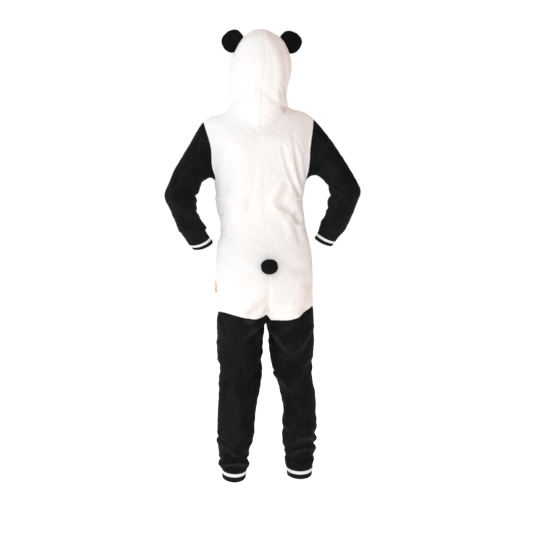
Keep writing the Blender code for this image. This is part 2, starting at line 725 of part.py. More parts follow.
def add_zip(mesh):
    rows = zip_rows(mesh)
    for side, word in SIDES.items():
        outer, inner = [], []
        for k, row in enumerate(rows):
            normal = row[0 if side > 0 else 1][1]
            parted = TAPE["parted"] if k < 2 else TAPE["edge"]
            under = TAPE["under_parted"] if k < 2 else TAPE["under"]
            for front in tape_front(row, side, parted, under):
                outer.append(front)
                inner.append(front - normal * TAPE["thick"] * MM)
        count = len(outer)
        faces = []
        for k in range(0, count - 2, 2):
            a, b, c, d = k, k + 1, k + 3, k + 2
            faces.append([a, b, c, d])
            faces.append([count + d, count + c, count + b, count + a])
            faces.append([a, d, count + d, count + a])
            faces.append([c, b, count + b, count + c])
        faces.append([1, 0, count, count + 1])
        faces.append([count - 2, count - 1, 2 * count - 1, 2 * count - 2])
        if side > 0:
            faces = [f[::-1] for f in faces]
        add_node("zip_tape_" + word, "zip_tape", outer + inner, faces)
    add_slider([sum((tape_front(row, side, 0, 0)[0] for side in SIDES), Vector()) / 2 for row in rows])


def box_mesh(size, middle, bevel=0.0):
    """A box with softened corners, in millimetres, as a bmesh."""
    bm = bmesh.new()
    bmesh.ops.create_cube(bm, size=1)
    bm.transform(Matrix.Translation(middle) @ Matrix.Diagonal((*size, 1)))
    if bevel:
        bmesh.ops.bevel(bm, geom=bm.edges, offset=bevel, segments=1, affect="EDGES")
    return bm


def object_from(bm, name, slot, place):
    bm.transform(place @ Matrix.Scale(MM, 4))
    mesh = bpy.data.meshes.new(name)
    bm.to_mesh(mesh)
    bm.free()
    mesh.materials.append(finish_material(slot))
    made = bpy.data.objects.new(name, mesh)
    bpy.context.scene.collection.objects.link(made)
    return made


def add_slider(line):
    """The slider at the neck and its pull. Locally x is across, y up along the zip, z outwards."""
    drop = SLIDER["below_neck"] * MM
    k = 0
    while (line[k + 1] - line[k]).length < drop:
        drop -= (line[k + 1] - line[k]).length
        k += 1
    run = line[k + 1] - line[k]
    up = -Vector((0, run.y, run.z)).normalized()
    frame = Matrix((Vector((1, 0, 0)), up, Vector((1, 0, 0)).cross(up))).transposed().to_4x4()
    frame.translation = line[k] + run.normalized() * drop
    plate_low = REST_GAP + 0.3
    plate_top = plate_low + SLIDER["thick"]
    tall, wide = SLIDER["tall"], SLIDER["wide"]
    back_top = -TAPE["thick"] - REST_GAP
    plate = box_mesh((wide, tall, SLIDER["thick"]), (0, 0, (plate_low + plate_top) / 2), 0.5)
    slider = object_from(plate, "zip_slider", "zip_metal", frame)
    sunk = 0.8
    post_high = plate_low - back_top + 2 * sunk
    pieces = [
        box_mesh((SLIDER["post"], 4, post_high), (0, tall / 2 - 3, (plate_low + back_top) / 2)),
        box_mesh((wide, tall, SLIDER["back"]), (0, 0, back_top - SLIDER["back"] / 2), 0.4),
    ]
    reach = BRIDGE["hole_long"] / 2 + BRIDGE["thick"] / 2
    strap_middle = plate_top + BRIDGE["hole_high"] + BRIDGE["thick"] / 2
    for end in (1, -1):
        leg = (BRIDGE["wide"], BRIDGE["thick"], strap_middle - plate_top + sunk)
        pieces.append(box_mesh(leg, (0, end * reach, plate_top - sunk + leg[2] / 2)))
    strap = (BRIDGE["wide"] + 0.5, 2 * reach + BRIDGE["thick"] + 0.8, BRIDGE["thick"])
    pieces.append(box_mesh(strap, (0, 0, strap_middle), 0.3))
    for n, piece in enumerate(pieces):
        tool = object_from(piece, f"slider_piece_{n}", "zip_metal", frame)
        tool.hide_render = True
        tool.display_type = "WIRE"
        join = slider.modifiers.new(f"join_{n}", "BOOLEAN")
        join.operation = "UNION"
        join.object = tool
    pivot = plate_top + BRIDGE["hole_high"] / 2
    add_pull(frame @ Matrix.Translation(Vector((0, 0, pivot)) * MM))


def add_pull(place):
    """The pull tab hangs from its bar, whose middle is the joint's axis."""
    wide, window = PULL["wide"] / 2, PULL["window"] / 2
    bar, hole, end = PULL["bar"], PULL["window_long"], PULL["long"]
    outline = [
        (-wide + 0.6, bar), (wide - 0.6, bar), (wide, bar - 1.2), (wide, -hole - 1),
        (wide - 0.8, -end + 1.6), (wide - 2.2, -end), (-wide + 2.2, -end), (-wide + 0.8, -end + 1.6),
        (-wide, -hole - 1), (-wide, bar - 1.2),
    ]  # fmt: skip
    inner = [
        (-window + 0.3, -bar), (window - 0.3, -bar), (window, -bar - 0.4), (window, -hole + 1),
        (window, -hole + 0.4), (window - 0.4, -hole), (-window + 0.4, -hole), (-window, -hole + 0.4),
        (-window, -hole + 1), (-window, -bar - 0.4),
    ]  # fmt: skip
    half = PULL["thick"] / 2
    points = [Vector((x, y, z)) for z in (half, -half) for loop in (outline, inner) for x, y in loop]
    n = len(outline)
    faces = []
    for k in range(n):
        m = (k + 1) % n
        faces.append([n + k, n + m, m, k])
        faces.append([2 * n + k, 2 * n + m, 3 * n + m, 3 * n + k])
        faces.append([k, m, 2 * n + m, 2 * n + k])
        faces.append([n + m, n + k, 3 * n + k, 3 * n + m])
    bm = bmesh.new()
    corners = [bm.verts.new(p) for p in points]
    for f in faces:
        bm.faces.new([corners[v] for v in f])
    bmesh.ops.recalc_face_normals(bm, faces=bm.faces)
    rest = object_from(bm, "zip_pull", "zip_metal", Matrix())
    rest.matrix_world = place


def add_label(mesh):
    """A blank folded label in the left side seam, made from the seam's own points."""
    backs, fronts = set(), set()
    for p in mesh.polygons:
        if p.material_index == PANELS.index("back_left"):
            backs.update(p.vertices)
        if p.material_index == PANELS.index("front_left"):
            fronts.update(p.vertices)
    low, high = LABEL["top"] - LABEL["tall"], LABEL["top"]
    seam = [mesh.vertices[v] for v in backs & fronts if mesh.vertices[v].co.x > 0.08]
    seam = sorted((v for v in seam if v.co.z < -0.3), key=lambda v: -v.co.z)
    rows = []
    for z in (high, (high + low) / 2, low):
        for a, b in zip(seam, seam[1:]):
            if a.co.z / MM >= z >= b.co.z / MM:
                share = (a.co.z / MM - z) / ((a.co.z - b.co.z) / MM)
                rows.append((a.co.lerp(b.co, share), a.normal.lerp(b.normal, share)))
    turn = math.radians(LABEL["forward"])
    way = Vector((math.cos(turn), -math.sin(turn), 0))
    thick = way.cross(Vector((0, 0, 1))) * LABEL["thick"] / 2 * MM
    points = []
    for place, normal in rows:
        root = place + normal * REST_GAP * 2.2 * MM
        tip = root + way * LABEL["out"] * MM
        points += [root - thick, tip - thick, tip + thick, root + thick]
    faces = [[3, 2, 1, 0], [8, 9, 10, 11]]
    for k in (0, 4):
        faces += [[k + a, k + b, k + 4 + b, k + 4 + a] for a, b in ((0, 1), (1, 2), (2, 3), (3, 0))]
    made = add_node("side_label", "label_orange", points, faces)
    bm = bmesh.new()
    bm.from_mesh(made.data)
    bmesh.ops.recalc_face_normals(bm, faces=bm.faces)
    bm.to_mesh(made.data)
    bm.free()


def main():
    for old in list(bpy.data.objects):
        bpy.data.objects.remove(old, do_unlink=True)
    cloth = Cloth()
    add_body_rings(cloth)
    add_shoulders(cloth)
    close_body(cloth)
    add_hood(cloth)
    add_sleeve(cloth, 1, LEFT_SLEEVE, LEFT_CUFF, LEFT_HEM)
    add_sleeve(cloth, -1, RIGHT_SLEEVE, RIGHT_CUFF, RIGHT_HEM)
    add_leg(cloth, 1, LEFT_LEG, LEFT_ANKLE, LEFT_LEG_HEM)
    add_leg(cloth, -1, RIGHT_LEG, RIGHT_ANKLE, RIGHT_LEG_HEM)
    mesh = cloth_mesh(cloth, levels=1)
    press_folds(mesh)
    add_panels(mesh)
    add_ears_and_tail(mesh)
    add_zip(mesh)
    add_label(mesh)
    bpy.data.meshes.remove(mesh)


main()
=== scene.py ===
import math
from collections import namedtuple

import bmesh
import bpy
import numpy as np
from mathutils import Matrix, Vector
from mathutils.bvhtree import BVHTree
from mathutils.kdtree import KDTree


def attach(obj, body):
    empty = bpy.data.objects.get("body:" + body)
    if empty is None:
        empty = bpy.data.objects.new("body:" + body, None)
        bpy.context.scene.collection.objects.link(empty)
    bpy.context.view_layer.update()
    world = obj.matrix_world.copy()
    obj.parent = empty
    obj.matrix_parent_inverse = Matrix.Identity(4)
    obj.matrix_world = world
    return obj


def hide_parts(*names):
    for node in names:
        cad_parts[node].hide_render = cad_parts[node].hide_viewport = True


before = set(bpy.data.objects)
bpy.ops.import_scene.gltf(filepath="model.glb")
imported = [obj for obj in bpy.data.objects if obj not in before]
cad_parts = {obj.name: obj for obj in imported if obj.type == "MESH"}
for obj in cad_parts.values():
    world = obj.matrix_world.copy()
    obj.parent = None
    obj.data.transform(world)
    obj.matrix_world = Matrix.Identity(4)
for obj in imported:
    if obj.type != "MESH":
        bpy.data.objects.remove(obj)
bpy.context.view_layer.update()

# A child's hooded panda onesie, in the pose in which it is worn.
# Tables are in millimetres, and everything that goes into Blender is in metres.
mm = 0.001
sides = {1: "left", -1: "right"}

cut = {
    "zipHalf": 5.5,  # from the zip's middle to the fleece edge
    "fitRounds": 4,  # rounds of moving the coarse points until the smooth cloth passes through them
    "fineLevel": 4,  # subdivision of the outer face
    "liningLevel": 3,  # subdivision of the inner face
    "squareness": 0.88,  # of the body's rings, where 1 is round
    "chestBow": 2.4,  # how late the chest curves back to the armholes
    "dropFrom": 60,  # x where the left shoulder starts to hang lower
    "dropOver": 100,
}

Ring = namedtuple("Ring", "z shift half back front")
bodyRings = [
    Ring(-203, -4, 131, 88, -98),
    Ring(-255, -2, 122, 87, -100),
    Ring(-300, -5.5, 119.5, 80, -97),
    Ring(-345, -13, 119, 78, -95),
    Ring(-395, -15, 131, 91, -97),
    Ring(-445, -15.75, 134.75, 106, -99),
    Ring(-500, -16.2, 135.2, 111, -98),
    Ring(-548, -18.75, 134.25, 104, -94),
]
seamRing = Ring(-590, -18.5, 134, 94, -88)  # where the black legs start
Rise = namedtuple("Rise", "left right")  # what the leg seam lies above its ring, from back to front
seamRise = [
    Rise(-1, -1), Rise(6.5, 0.5), Rise(13, 7), Rise(19.5, 24), Rise(21, 34), Rise(16, 30),
    Rise(14, 24), Rise(12, 16), Rise(8, 8), Rise(4, 2), Rise(6, 6),
]
seamPulledIn = {0: 26, 1: 3, 9: 3, 10: 20}
Crotch = namedtuple("Crotch", "y z")
crotchSeam = [Crotch(36, -595), Crotch(0, -601), Crotch(-34, -594)]
crotchX = -20

# Rows above the arms: centre back, back edge of the armhole, centre front, its front edge.
Level = namedtuple("Level", "shift zBack yBack xEdge yEdge zEdge zFront yFront xFedge yFedge zFedge")
chestLevels = [
    Level(0, -162, 89, 133, 40, -163, -168, -98, 129, -48, -166),
    Level(1, -120, 88, 133, 43, -120, -134, -93, 129, -50, -124),
    Level(2.5, -84, 79, 143, 27, -71, -100, -78, 141, -32, -76),
]
neckPoints = {0: (0, 68, -59), 1: (50, 50, -40), 2: (82, 0, -8), 9: (52, -46, -46), 10: (0, -66, -76)}
shoulderPoints = {3: (117, -2, -22), 4: (153.6, -2, -40.5)}
leftShoulderDrop = 6
rightShoulderLift = {2: 4, 3: 7, 4: 3}  # for neckPoints and shoulderPoints
rightEdgeOut = [4.5, 7, 7]  # for each of chestLevels, what the right armhole lies farther out

# Where a hood row's points lie between its middle, its side and its edge.
hoodShape = {"backOut": 0.74, "cheekOut": 0.8, "cheekForward": 0.55, "cheekUp": 0.5}
HoodRow = namedtuple("HoodRow", "zBack yBack xSide ySide zSide xEdge yEdge zEdge shift")
hoodRows = [
    HoodRow(-16, 76, 77, 4, 20, 44, -84, -38, 0),
    HoodRow(28, 86, 79.5, 4, 48, 62, -92, 8, -1),
    HoodRow(75, 94, 85, 0, 86, 70, -96, 58, -4),
    HoodRow(122, 92, 81.5, -4, 124, 68, -95, 108, -8),
    HoodRow(162, 78, 69, -8, 160, 57, -92, 144, -9),
    HoodRow(188, 58, 45, -12, 190, 34, -90, 168, -8.5),
]
crownSeam = [(38, 201), (12, 207), (-22, 207), (-60, 197), (-90, 178)]  # y, z from back to front
crownShift = -7

# One row for each ring of a sleeve: its inner and outer points, its middle and its half depth.
Cuffed = namedtuple("Cuffed", "xIn zIn xOut zOut y deep")
sleeveRows = {
    1: [
        Cuffed(142.5, -201, 183, -94, 8, 50), Cuffed(152.5, -206.5, 206, -129, 15, 47),
        Cuffed(160, -218, 230, -169, 26, 45), Cuffed(168, -231, 251, -214, 38, 43),
        Cuffed(174, -251, 263, -247, 48, 43), Cuffed(174, -279, 251, -278, 42, 41),
        Cuffed(167, -305, 240, -303, 31, 39), Cuffed(155, -327, 228, -331, 20, 37),
        Cuffed(149, -344, 218, -350, 11, 34),
    ],
    -1: [
        Cuffed(-155, -194, -197, -92, 8, 50), Cuffed(-168, -198, -222, -126, 15, 47),
        Cuffed(-180.5, -208, -245, -166, 26, 45), Cuffed(-189.5, -222, -267, -204, 38, 43),
        Cuffed(-193, -240, -279, -236, 49, 43), Cuffed(-190, -263, -271, -264, 44, 41),
        Cuffed(-186, -290, -262, -295, 33, 39), Cuffed(-176, -317, -251, -326, 20, 37),
        Cuffed(-170, -336, -242, -347, 11, 34),
    ],
}
wristRows = {
    1: [Cuffed(146, -350, 206, -367, 8, 30), Cuffed(138, -362, 196, -382, 4, 28),
        Cuffed(130, -374, 185, -395, 0, 27)],
    -1: [Cuffed(-170, -342, -230, -361, 7, 30), Cuffed(-165, -356, -218, -376, 3, 28),
         Cuffed(-159, -368, -209, -390, -1, 27)],
}

LegRing = namedtuple("LegRing", "z x y wide deep")
legRows = {
    1: [
        LegRing(-626, 51.3, 4, 66.3, 78), LegRing(-664, 53.3, 4, 64.5, 73),
        LegRing(-706, 53.5, 3, 63.5, 67), LegRing(-748, 51.3, 2, 60.9, 62),
        LegRing(-800, 55.8, 4, 57.4, 58.5), LegRing(-870, 64.8, 12, 52.3, 55),
        LegRing(-912, 66.7, 15, 52.2, 53), LegRing(-950, 69.8, 17, 47.8, 49),
        LegRing(-982, 72, 18, 42, 45), LegRing(-1006, 72.3, 19, 41.5, 43),
        LegRing(-1020, 71, 20, 38, 39),
    ],
    -1: [
        LegRing(-626, -91, 2, 66, 77), LegRing(-664, -92, 1, 64, 72),
        LegRing(-706, -93.8, -2, 60, 66), LegRing(-748, -97.5, -5, 54, 61),
        LegRing(-802, -110, -8, 49.5, 57.5), LegRing(-870, -117.5, -10, 47.5, 54),
        LegRing(-912, -118.2, -12, 49.7, 52), LegRing(-952, -115.8, -15, 46.7, 49),
        LegRing(-986, -118, -17, 44, 45), LegRing(-1012, -118, -18, 42, 43),
        LegRing(-1026, -117.5, -19, 39.5, 40),
    ],
}
ankleRows = {
    1: [LegRing(-1024, 71, 20, 36, 37), LegRing(-1048, 71.7, 21, 32.5, 34)],
    -1: [LegRing(-1030, -118.5, -19, 38.4, 38), LegRing(-1055, -119.6, -20, 36, 36)],
}

ringHalf = 10  # steps round half of a body ring, from centre back to centre front
shoulderColumn = 4
zipEnd = -(len(bodyRings) - 2)  # the ring where the zip stops and the front seam goes on
topLevel = len(chestLevels) + 1

whitePanels = [kind + word for kind in ("back_", "front_", "hood_") for word in sides.values()]
blackPanels = [kind + word for kind in ("sleeve_", "leg_back_", "leg_front_") for word in sides.values()]
ribPanels = [kind + word for kind in ("cuff_", "ankle_cuff_") for word in sides.values()]
panels = whitePanels + blackPanels + ribPanels
seeds = {"swell": 3, "ripple": 4, "legSag": 5, "pucker": 6, "gather": 7, "cuffs": 8,
         "cushionSeam": 9, "lumps": 10, "zipStitches": 3, "faceStitches": 5}
seamCrease = {("back", "hood"): 0.15, ("front", "hood"): 0.15, ("back", "sleeve"): 0.25,
              ("front", "sleeve"): 0.25, ("cuff", "sleeve"): 0.7, ("ankle", "leg"): 0.7}


def millimetres(x, y, z):
    return Vector((x, y, z)) * mm


def unit(ways):
    return ways / np.linalg.norm(ways, axis=-1, keepdims=True)


def bell(distance, wide):
    return np.exp(-((distance / wide) ** 2))


def smoothStep(value):
    value = np.clip(value, 0, 1)
    return value * value * (3 - 2 * value)


def linked(name, data):
    made = bpy.data.objects.new(name, data)
    bpy.context.scene.collection.objects.link(made)
    return made


class CoarseCloth:
    # named points, and faces that each belong to a panel

    def __init__(self):
        self.points, self.index, self.faces, self.panels, self.corners = [], {}, [], [], []

    def add(self, name, place):
        if name not in self.index:
            self.index[name] = len(self.points)
            self.points.append(place)

    def face(self, panel, *names):
        self.faces.append([self.index[n] for n in names])
        self.panels.append(panels.index(panel))

    def band(self, panel, upper, lower):
        for k in range(len(upper) - 1):
            self.face(panel, upper[k], upper[k + 1], lower[k + 1], lower[k])


def bodyName(level, side, j):
    # the two sides share the middle points, but for the fronts beside the zip
    zipped = j == ringHalf and level > zipEnd
    shared = j in (0, ringHalf) and not zipped
    return ("body", level, 0 if shared else side, j)


def shoulderName(level, side, j):
    if level == topLevel and j in (6, 7, 8):
        j = ringHalf - j
    return bodyName(level, side, j)


def ringPoint(ring, side, j):
    angle = math.pi * j / ringHalf
    across = math.copysign(abs(math.sin(angle)) ** cut["squareness"], side)
    along = math.copysign(abs(math.cos(angle)) ** cut["squareness"], math.cos(angle))
    depth = ring.back if along > 0 else -ring.front
    x = ring.shift if j == ringHalf else ring.shift + ring.half * across
    return x, depth * along, ring.z


def layBody(cloth):
    for row, ring in enumerate(bodyRings + [seamRing]):
        for side in sides:
            for j in range(ringHalf + 1):
                name = bodyName(-row, side, j)
                x, y, z = ringPoint(ring, side, j)
                if name[2] and j == ringHalf:
                    x += side * cut["zipHalf"]
                if ring is seamRing:
                    y -= math.copysign(seamPulledIn.get(j, 0), y)
                    z += seamRise[j].left if side > 0 else seamRise[j].right
                cloth.add(name, millimetres(x, y, z))
    for k, place in enumerate(crotchSeam):
        cloth.add(("crotch", k), millimetres(crotchX, place.y, place.z))


def layShoulders(cloth):
    for row, level in enumerate(chestLevels, start=1):
        for side in sides:
            drop = leftShoulderDrop * row / topLevel if side > 0 else 0
            for j in (0, 1, 2, 3, 4, 6, 7, 8, 9, 10):
                z0, y0, x1, y1, z1 = level[1:6] if j <= shoulderColumn else level[6:]
                step = min(j, ringHalf - j) / shoulderColumn
                x1 += rightEdgeOut[row - 1] if side < 0 else 0
                x = level.shift * step + side * x1 * step
                if j == ringHalf:
                    x += side * cut["zipHalf"]
                y = y1 + (y0 - y1) * (1 - step ** cut["chestBow"])
                z = z0 + (z1 - z0) * step - drop * step
                cloth.add(bodyName(row, side, j), millimetres(x, y, z))
    for side in sides:
        for j, (x, y, z) in {**neckPoints, **shoulderPoints}.items():
            if j == ringHalf:
                x += cut["zipHalf"]
                cloth.corners.append(len(cloth.points))
            drop = leftShoulderDrop * min(1, max(0, (x - cut["dropFrom"]) / cut["dropOver"]))
            z += -drop if side > 0 else rightShoulderLift.get(j, 0)
            cloth.add(bodyName(topLevel, side, j), millimetres(side * x, y, z))


def sewBody(cloth):
    for side, word in sides.items():
        for level in range(-len(bodyRings), topLevel):
            split = (range(0, 6), range(5, 11)) if level < 0 else (range(0, 5), range(6, 11))
            for panel, columns in zip(("back_", "front_"), split):
                upper = [shoulderName(level + 1, side, j) for j in columns]
                lower = [shoulderName(level, side, j) for j in columns]
                cloth.band(panel + word, upper, lower)


def layHood(cloth):
    rows = {side: [[shoulderName(topLevel, side, j) for j in (0, 1, 2, 9, 10)]] for side in sides}
    out, cheek, forward, up = hoodShape.values()
    for row, h in enumerate(hoodRows):
        places = [
            (0, h.yBack, h.zBack),
            (out * h.xSide, h.ySide + out * (h.yBack - h.ySide), h.zBack + (h.zSide - h.zBack) / 2),
            (h.xSide, h.ySide, h.zSide),
            (h.xEdge + cheek * (h.xSide - h.xEdge), h.ySide + forward * (h.yEdge - h.ySide),
             h.zSide + up * (h.zEdge - h.zSide)),
            (h.xEdge, h.yEdge, h.zEdge),
        ]
        for side in sides:
            names = [("hood", row, side if k else 0, k) for k in range(5)]
            for name, (x, y, z) in zip(names, places):
                cloth.add(name, millimetres(h.shift + side * x, y, z))
            rows[side].append(names)
    crown = [("crown", k) for k in range(5)]
    for name, (y, z) in zip(crown, crownSeam):
        cloth.add(name, millimetres(crownShift, y, z))
    for side, word in sides.items():
        rows[side].append(crown)
        for lower, upper in zip(rows[side], rows[side][1:]):
            cloth.band("hood_" + word, upper, lower)


def addTube(cloth, around, ring, name, middle, out, back):
    # one more ring of a sleeve or a leg, sewn to the ring above it
    count = len(ring)
    names = [(*name, k) for k in range(count)]
    for k in range(count):
        angle = math.tau * k / count
        cloth.add(names[k], middle - out * math.cos(angle) + back * math.sin(angle))
    for k in range(count):
        n = (k + 1) % count
        cloth.face(around[k], ring[k], ring[n], names[n], names[k])
    return names


def laySleeve(cloth, side):
    ring = [bodyName(0, side, 5), bodyName(0, side, 4)]
    ring += [bodyName(level, side, 4) for level in range(1, topLevel + 1)]
    ring += [bodyName(level, side, 6) for level in range(topLevel - 1, -1, -1)]
    for row, section in enumerate(sleeveRows[side] + wristRows[side]):
        kind = "sleeve_" if row < len(sleeveRows[side]) else "cuff_"
        inner = millimetres(section.xIn, section.y, section.zIn)
        outer = millimetres(section.xOut, section.y, section.zOut)
        middle, back = (inner + outer) / 2, millimetres(0, section.deep, 0)
        around = [kind + sides[side]] * len(ring)
        ring = addTube(cloth, around, ring, ("arm", side, row), middle, outer - middle, back)


def layLeg(cloth, side):
    word = sides[side]
    ring = [("crotch", 1), ("crotch", 0)]
    ring += [bodyName(-len(bodyRings), side, j) for j in range(ringHalf + 1)]
    ring += [("crotch", 2)]
    half = len(ring) // 2
    for row, section in enumerate(legRows[side] + ankleRows[side]):
        middle = millimetres(section.x, section.y, section.z)
        out, back = millimetres(side * section.wide, 0, 0), millimetres(0, section.deep, 0)
        around = ["ankle_cuff_" + word] * len(ring)
        if row < len(legRows[side]):
            around = ["leg_back_" + word] * half + ["leg_front_" + word] * half
        ring = addTube(cloth, around, ring, ("leg", side, row), middle, out, back)


def evaluated(carrier):
    carrier.data.update()
    bpy.context.view_layer.update()
    return carrier.evaluated_get(bpy.context.evaluated_depsgraph_get())


def layCloth():
    # the whole onesie as one coarse surface, moved until its smooth form passes through the tables
    cloth = CoarseCloth()
    layBody(cloth)
    layShoulders(cloth)
    sewBody(cloth)
    layHood(cloth)
    for side in sides:
        laySleeve(cloth, side)
        layLeg(cloth, side)
    mesh = bpy.data.meshes.new("coarseCloth")
    mesh.from_pydata(cloth.points, [], cloth.faces)
    mesh.polygons.foreach_set("material_index", cloth.panels)
    made = bmesh.new()
    made.from_mesh(mesh)
    crease = made.edges.layers.float.new("crease_edge")
    for edge in made.edges:
        words = sorted({panels[f.material_index].split("_")[0] for f in edge.link_faces})
        edge[crease] = seamCrease.get(tuple(words), 0)
    made.verts.ensure_lookup_table()
    corner = made.verts.layers.float.new("crease_vert")
    for index in cloth.corners:
        made.verts[index][corner] = 1
    bmesh.ops.recalc_face_normals(made, faces=made.faces)
    if max(made.faces, key=lambda f: f.calc_center_median().y).normal.y < 0:
        bmesh.ops.reverse_faces(made, faces=made.faces)
    made.to_mesh(mesh)
    made.free()
    for panel in panels:
        mesh.materials.append(bpy.data.materials.new("cut_" + panel))
    carrier = linked("coarseCloth", mesh)
    smooth = carrier.modifiers.new("smooth", "SUBSURF")
    smooth.levels = smooth.render_levels = 1
    wanted = [v.co.copy() for v in mesh.vertices]
    for _ in range(cut["fitRounds"]):
        reached = bpy.data.meshes.new_from_object(evaluated(carrier))
        for vertex, goal, now in zip(mesh.vertices, wanted, reached.vertices):
            vertex.co += goal - now.co
        bpy.data.meshes.remove(reached)
    return carrier


class Surface:
    # the smooth cloth at one level, as arrays: places, normals, quads and the panel of each quad

    def __init__(self, carrier, level):
        smooth = carrier.modifiers["smooth"]
        smooth.levels = smooth.render_levels = level
        mesh = bpy.data.meshes.new_from_object(evaluated(carrier))
        self.places = readArray(mesh.vertices, "co", 3)
        self.normals = readArray(mesh.vertices, "normal", 3)
        self.quads = readArray(mesh.loops, "vertex_index", 1, int).reshape(-1, 4)
        self.panel = readArray(mesh.polygons, "material_index", 1, int)
        bpy.data.meshes.remove(mesh)
        self.flat = self.places.copy()

    def quadsOf(self, *names):
        return self.quads[np.isin(self.panel, [panels.index(name) for name in names])]

    def keepAsFlat(self):
        self.flat = self.places.copy()
        self.renewNormals()

    def renewNormals(self):
        a, b, c, d = (self.places[self.quads[:, k]] for k in range(4))
        across = np.cross(c - a, d - b)
        total = np.zeros_like(self.places)
        for k in range(4):
            np.add.at(total, self.quads[:, k], across)
        self.normals = total / np.maximum(np.linalg.norm(total, axis=1, keepdims=True), 1e-12)


def readArray(owner, name, width, kind=float):
    values = np.empty(len(owner) * width, np.float32 if kind is float else np.int32)
    owner.foreach_get(name, values)
    values = values.astype(kind)
    return values.reshape(-1, width) if width > 1 else values


def rimOf(quads, size):
    # directed edges of these quads that no other of them runs the other way
    start = quads.ravel()
    end = np.roll(quads, -1, axis=1).ravel()
    there, back = start * size + end, end * size + start
    free = ~np.isin(there, back)
    return np.stack([start[free], end[free]], axis=1)


def chainOf(edges):
    # the points of an open run of directed edges, in order
    follow = dict(edges.tolist())
    chain = [next(a for a in follow if a not in follow.values())]
    while chain[-1] in follow:
        chain.append(follow[chain[-1]])
    return chain


def treeOf(surface, quads):
    return BVHTree.FromPolygons([Vector(p) for p in surface.places], quads.tolist())


# A trough (depth under 0) or a ridge along a bend through three points, seen from behind or in front.
# side is 1 on the back, -1 on the front and 0 all round; lean makes one flank the steeper.
Fold = namedtuple("Fold", "side x1 z1 x2 z2 x3 z3 depth1 depth2 width lean")
backFolds = [
    (1, 10, -74, 13, -150, 40, -290, -1.4, -2.8, 12, 0.3),
    (1, 37, -79, 37, -96, 38, -120, -1.4, -0.8, 7, 0),
    (1, -88, -80, -98, -142, -111, -206, -1.6, -7.5, 6, 0),
    (1, -59, -112, -75, -178, -107, -243, -2.0, -7.5, 5.5, 0),
    (1, -76, -120, -87, -166, -104, -216, 1.0, 2.0, 7, 0),
    (1, -99, -90, -105, -107, -110, -123, -1.0, -1.6, 6, 0),
    (1, -51, -218, -26, -259, -40, -283, 2.6, 4.4, 8, -0.3),
    (1, -70, -224, -56, -260, -76, -284, -4.2, -5.2, 11, 0),
    (1, -51, -281, -79, -289, -109, -319, -2.6, -4.8, 7, 0),
    (1, -94, -284, -105, -300, -114, -318, -1.8, -3.2, 8, 0),
    (1, -80, -238, -94, -258, -106, -280, 1.4, 1.4, 8, 0),
    (1, -34, -297, -62, -311, -84, -346, 1.6, 2.4, 10, 0),
    (1, -71, -314, -71, -341, -79, -369, 2.4, 1.4, 9, -0.4),
    (1, -100, -300, -99, -331, -108, -370, -4.0, -3.0, 9, 0),
    (1, 86, -123, 92, -177, 99, -236, -1.2, -2, 12, 0),
    (1, 112, -270, 88, -300, 46, -318, -2.4, -1.0, 12, 0.2),
    (1, 110, -302, 97, -330, 74, -360, -2.2, -0.8, 11, 0),
    (1, 12, -330, 30, -300, 40, -262, -1.0, -1.6, 16, 0),
]
seatFolds = [
    (1, -15, -462, -15, -519, -14, -568, -0.8, -6.0, 7, 0),
    (1, -12, -524, -10, -552, -13, -586, -2.0, -8.0, 15, 0.45),
    (1, 4, -508, 30, -538, 58, -566, 1.8, 2.6, 8, 0),
    (1, -4, -532, 12, -550, 34, -569, -4.5, -8.0, 11, 0),
    (1, -18, -562, -43, -563, -78, -560, -3.0, -1.6, 7, -0.45),
    (1, -21, -548, -46, -546, -80, -541, 1.8, 1.2, 9, 0),
    (1, -106, -500, -86, -528, -78, -564, 2.4, 3.0, 12, -0.4),
    (1, -134, -498, -130, -531, -122, -570, -3.0, -4.4, 13, 0),
    (1, -54, -521, -67, -508, -84, -494, -1.2, -0.8, 11, 0),
    (1, 74, -531, 50, -523, 27, -505, -1.4, -1.0, 12, 0),
    (1, 100, -410, 70, -438, 34, -448, -1.4, -0.8, 15, 0),
    (1, -70, -426, -92, -443, -116, -452, -1.6, -2.2, 14, 0),
]
hoodFolds = [
    (1, 10, 52, -12, 28, -42, 8, -1.5, -4.5, 8, -0.35),
    (1, -8, 40, -38, 16, -68, 0, 1.0, 2.5, 9, 0),
    (1, -24, 12, -48, 0, -72, -8, -1.5, -3.5, 7, 0),
    (1, -30, 186, -63, 127, -66, 29, -2.4, -3.4, 9, 0),
    (1, -7, 180, -40, 121, -43, 32, 1.6, 2.8, 11, -0.4),
    (1, -54, 36, -61, 14, -73, -8, -4.2, -4.0, 7, 0.4),
    (1, 46, 20, 62, 8, 80, 2, -2.5, -2.2, 8, 0),
    (1, 20, -22, 46, -14, 70, 2, -2.0, -1.5, 8, 0),
    (1, -1, 196, -17, 177, -40, 148, -1.2, -0.8, 9, 0),
    (-1, 74, 20, 66, 4, 52, -20, -2.5, -2.0, 9, 0),
    (-1, -76, 26, -66, 6, -52, -20, -3.0, -2.0, 9, 0),
]
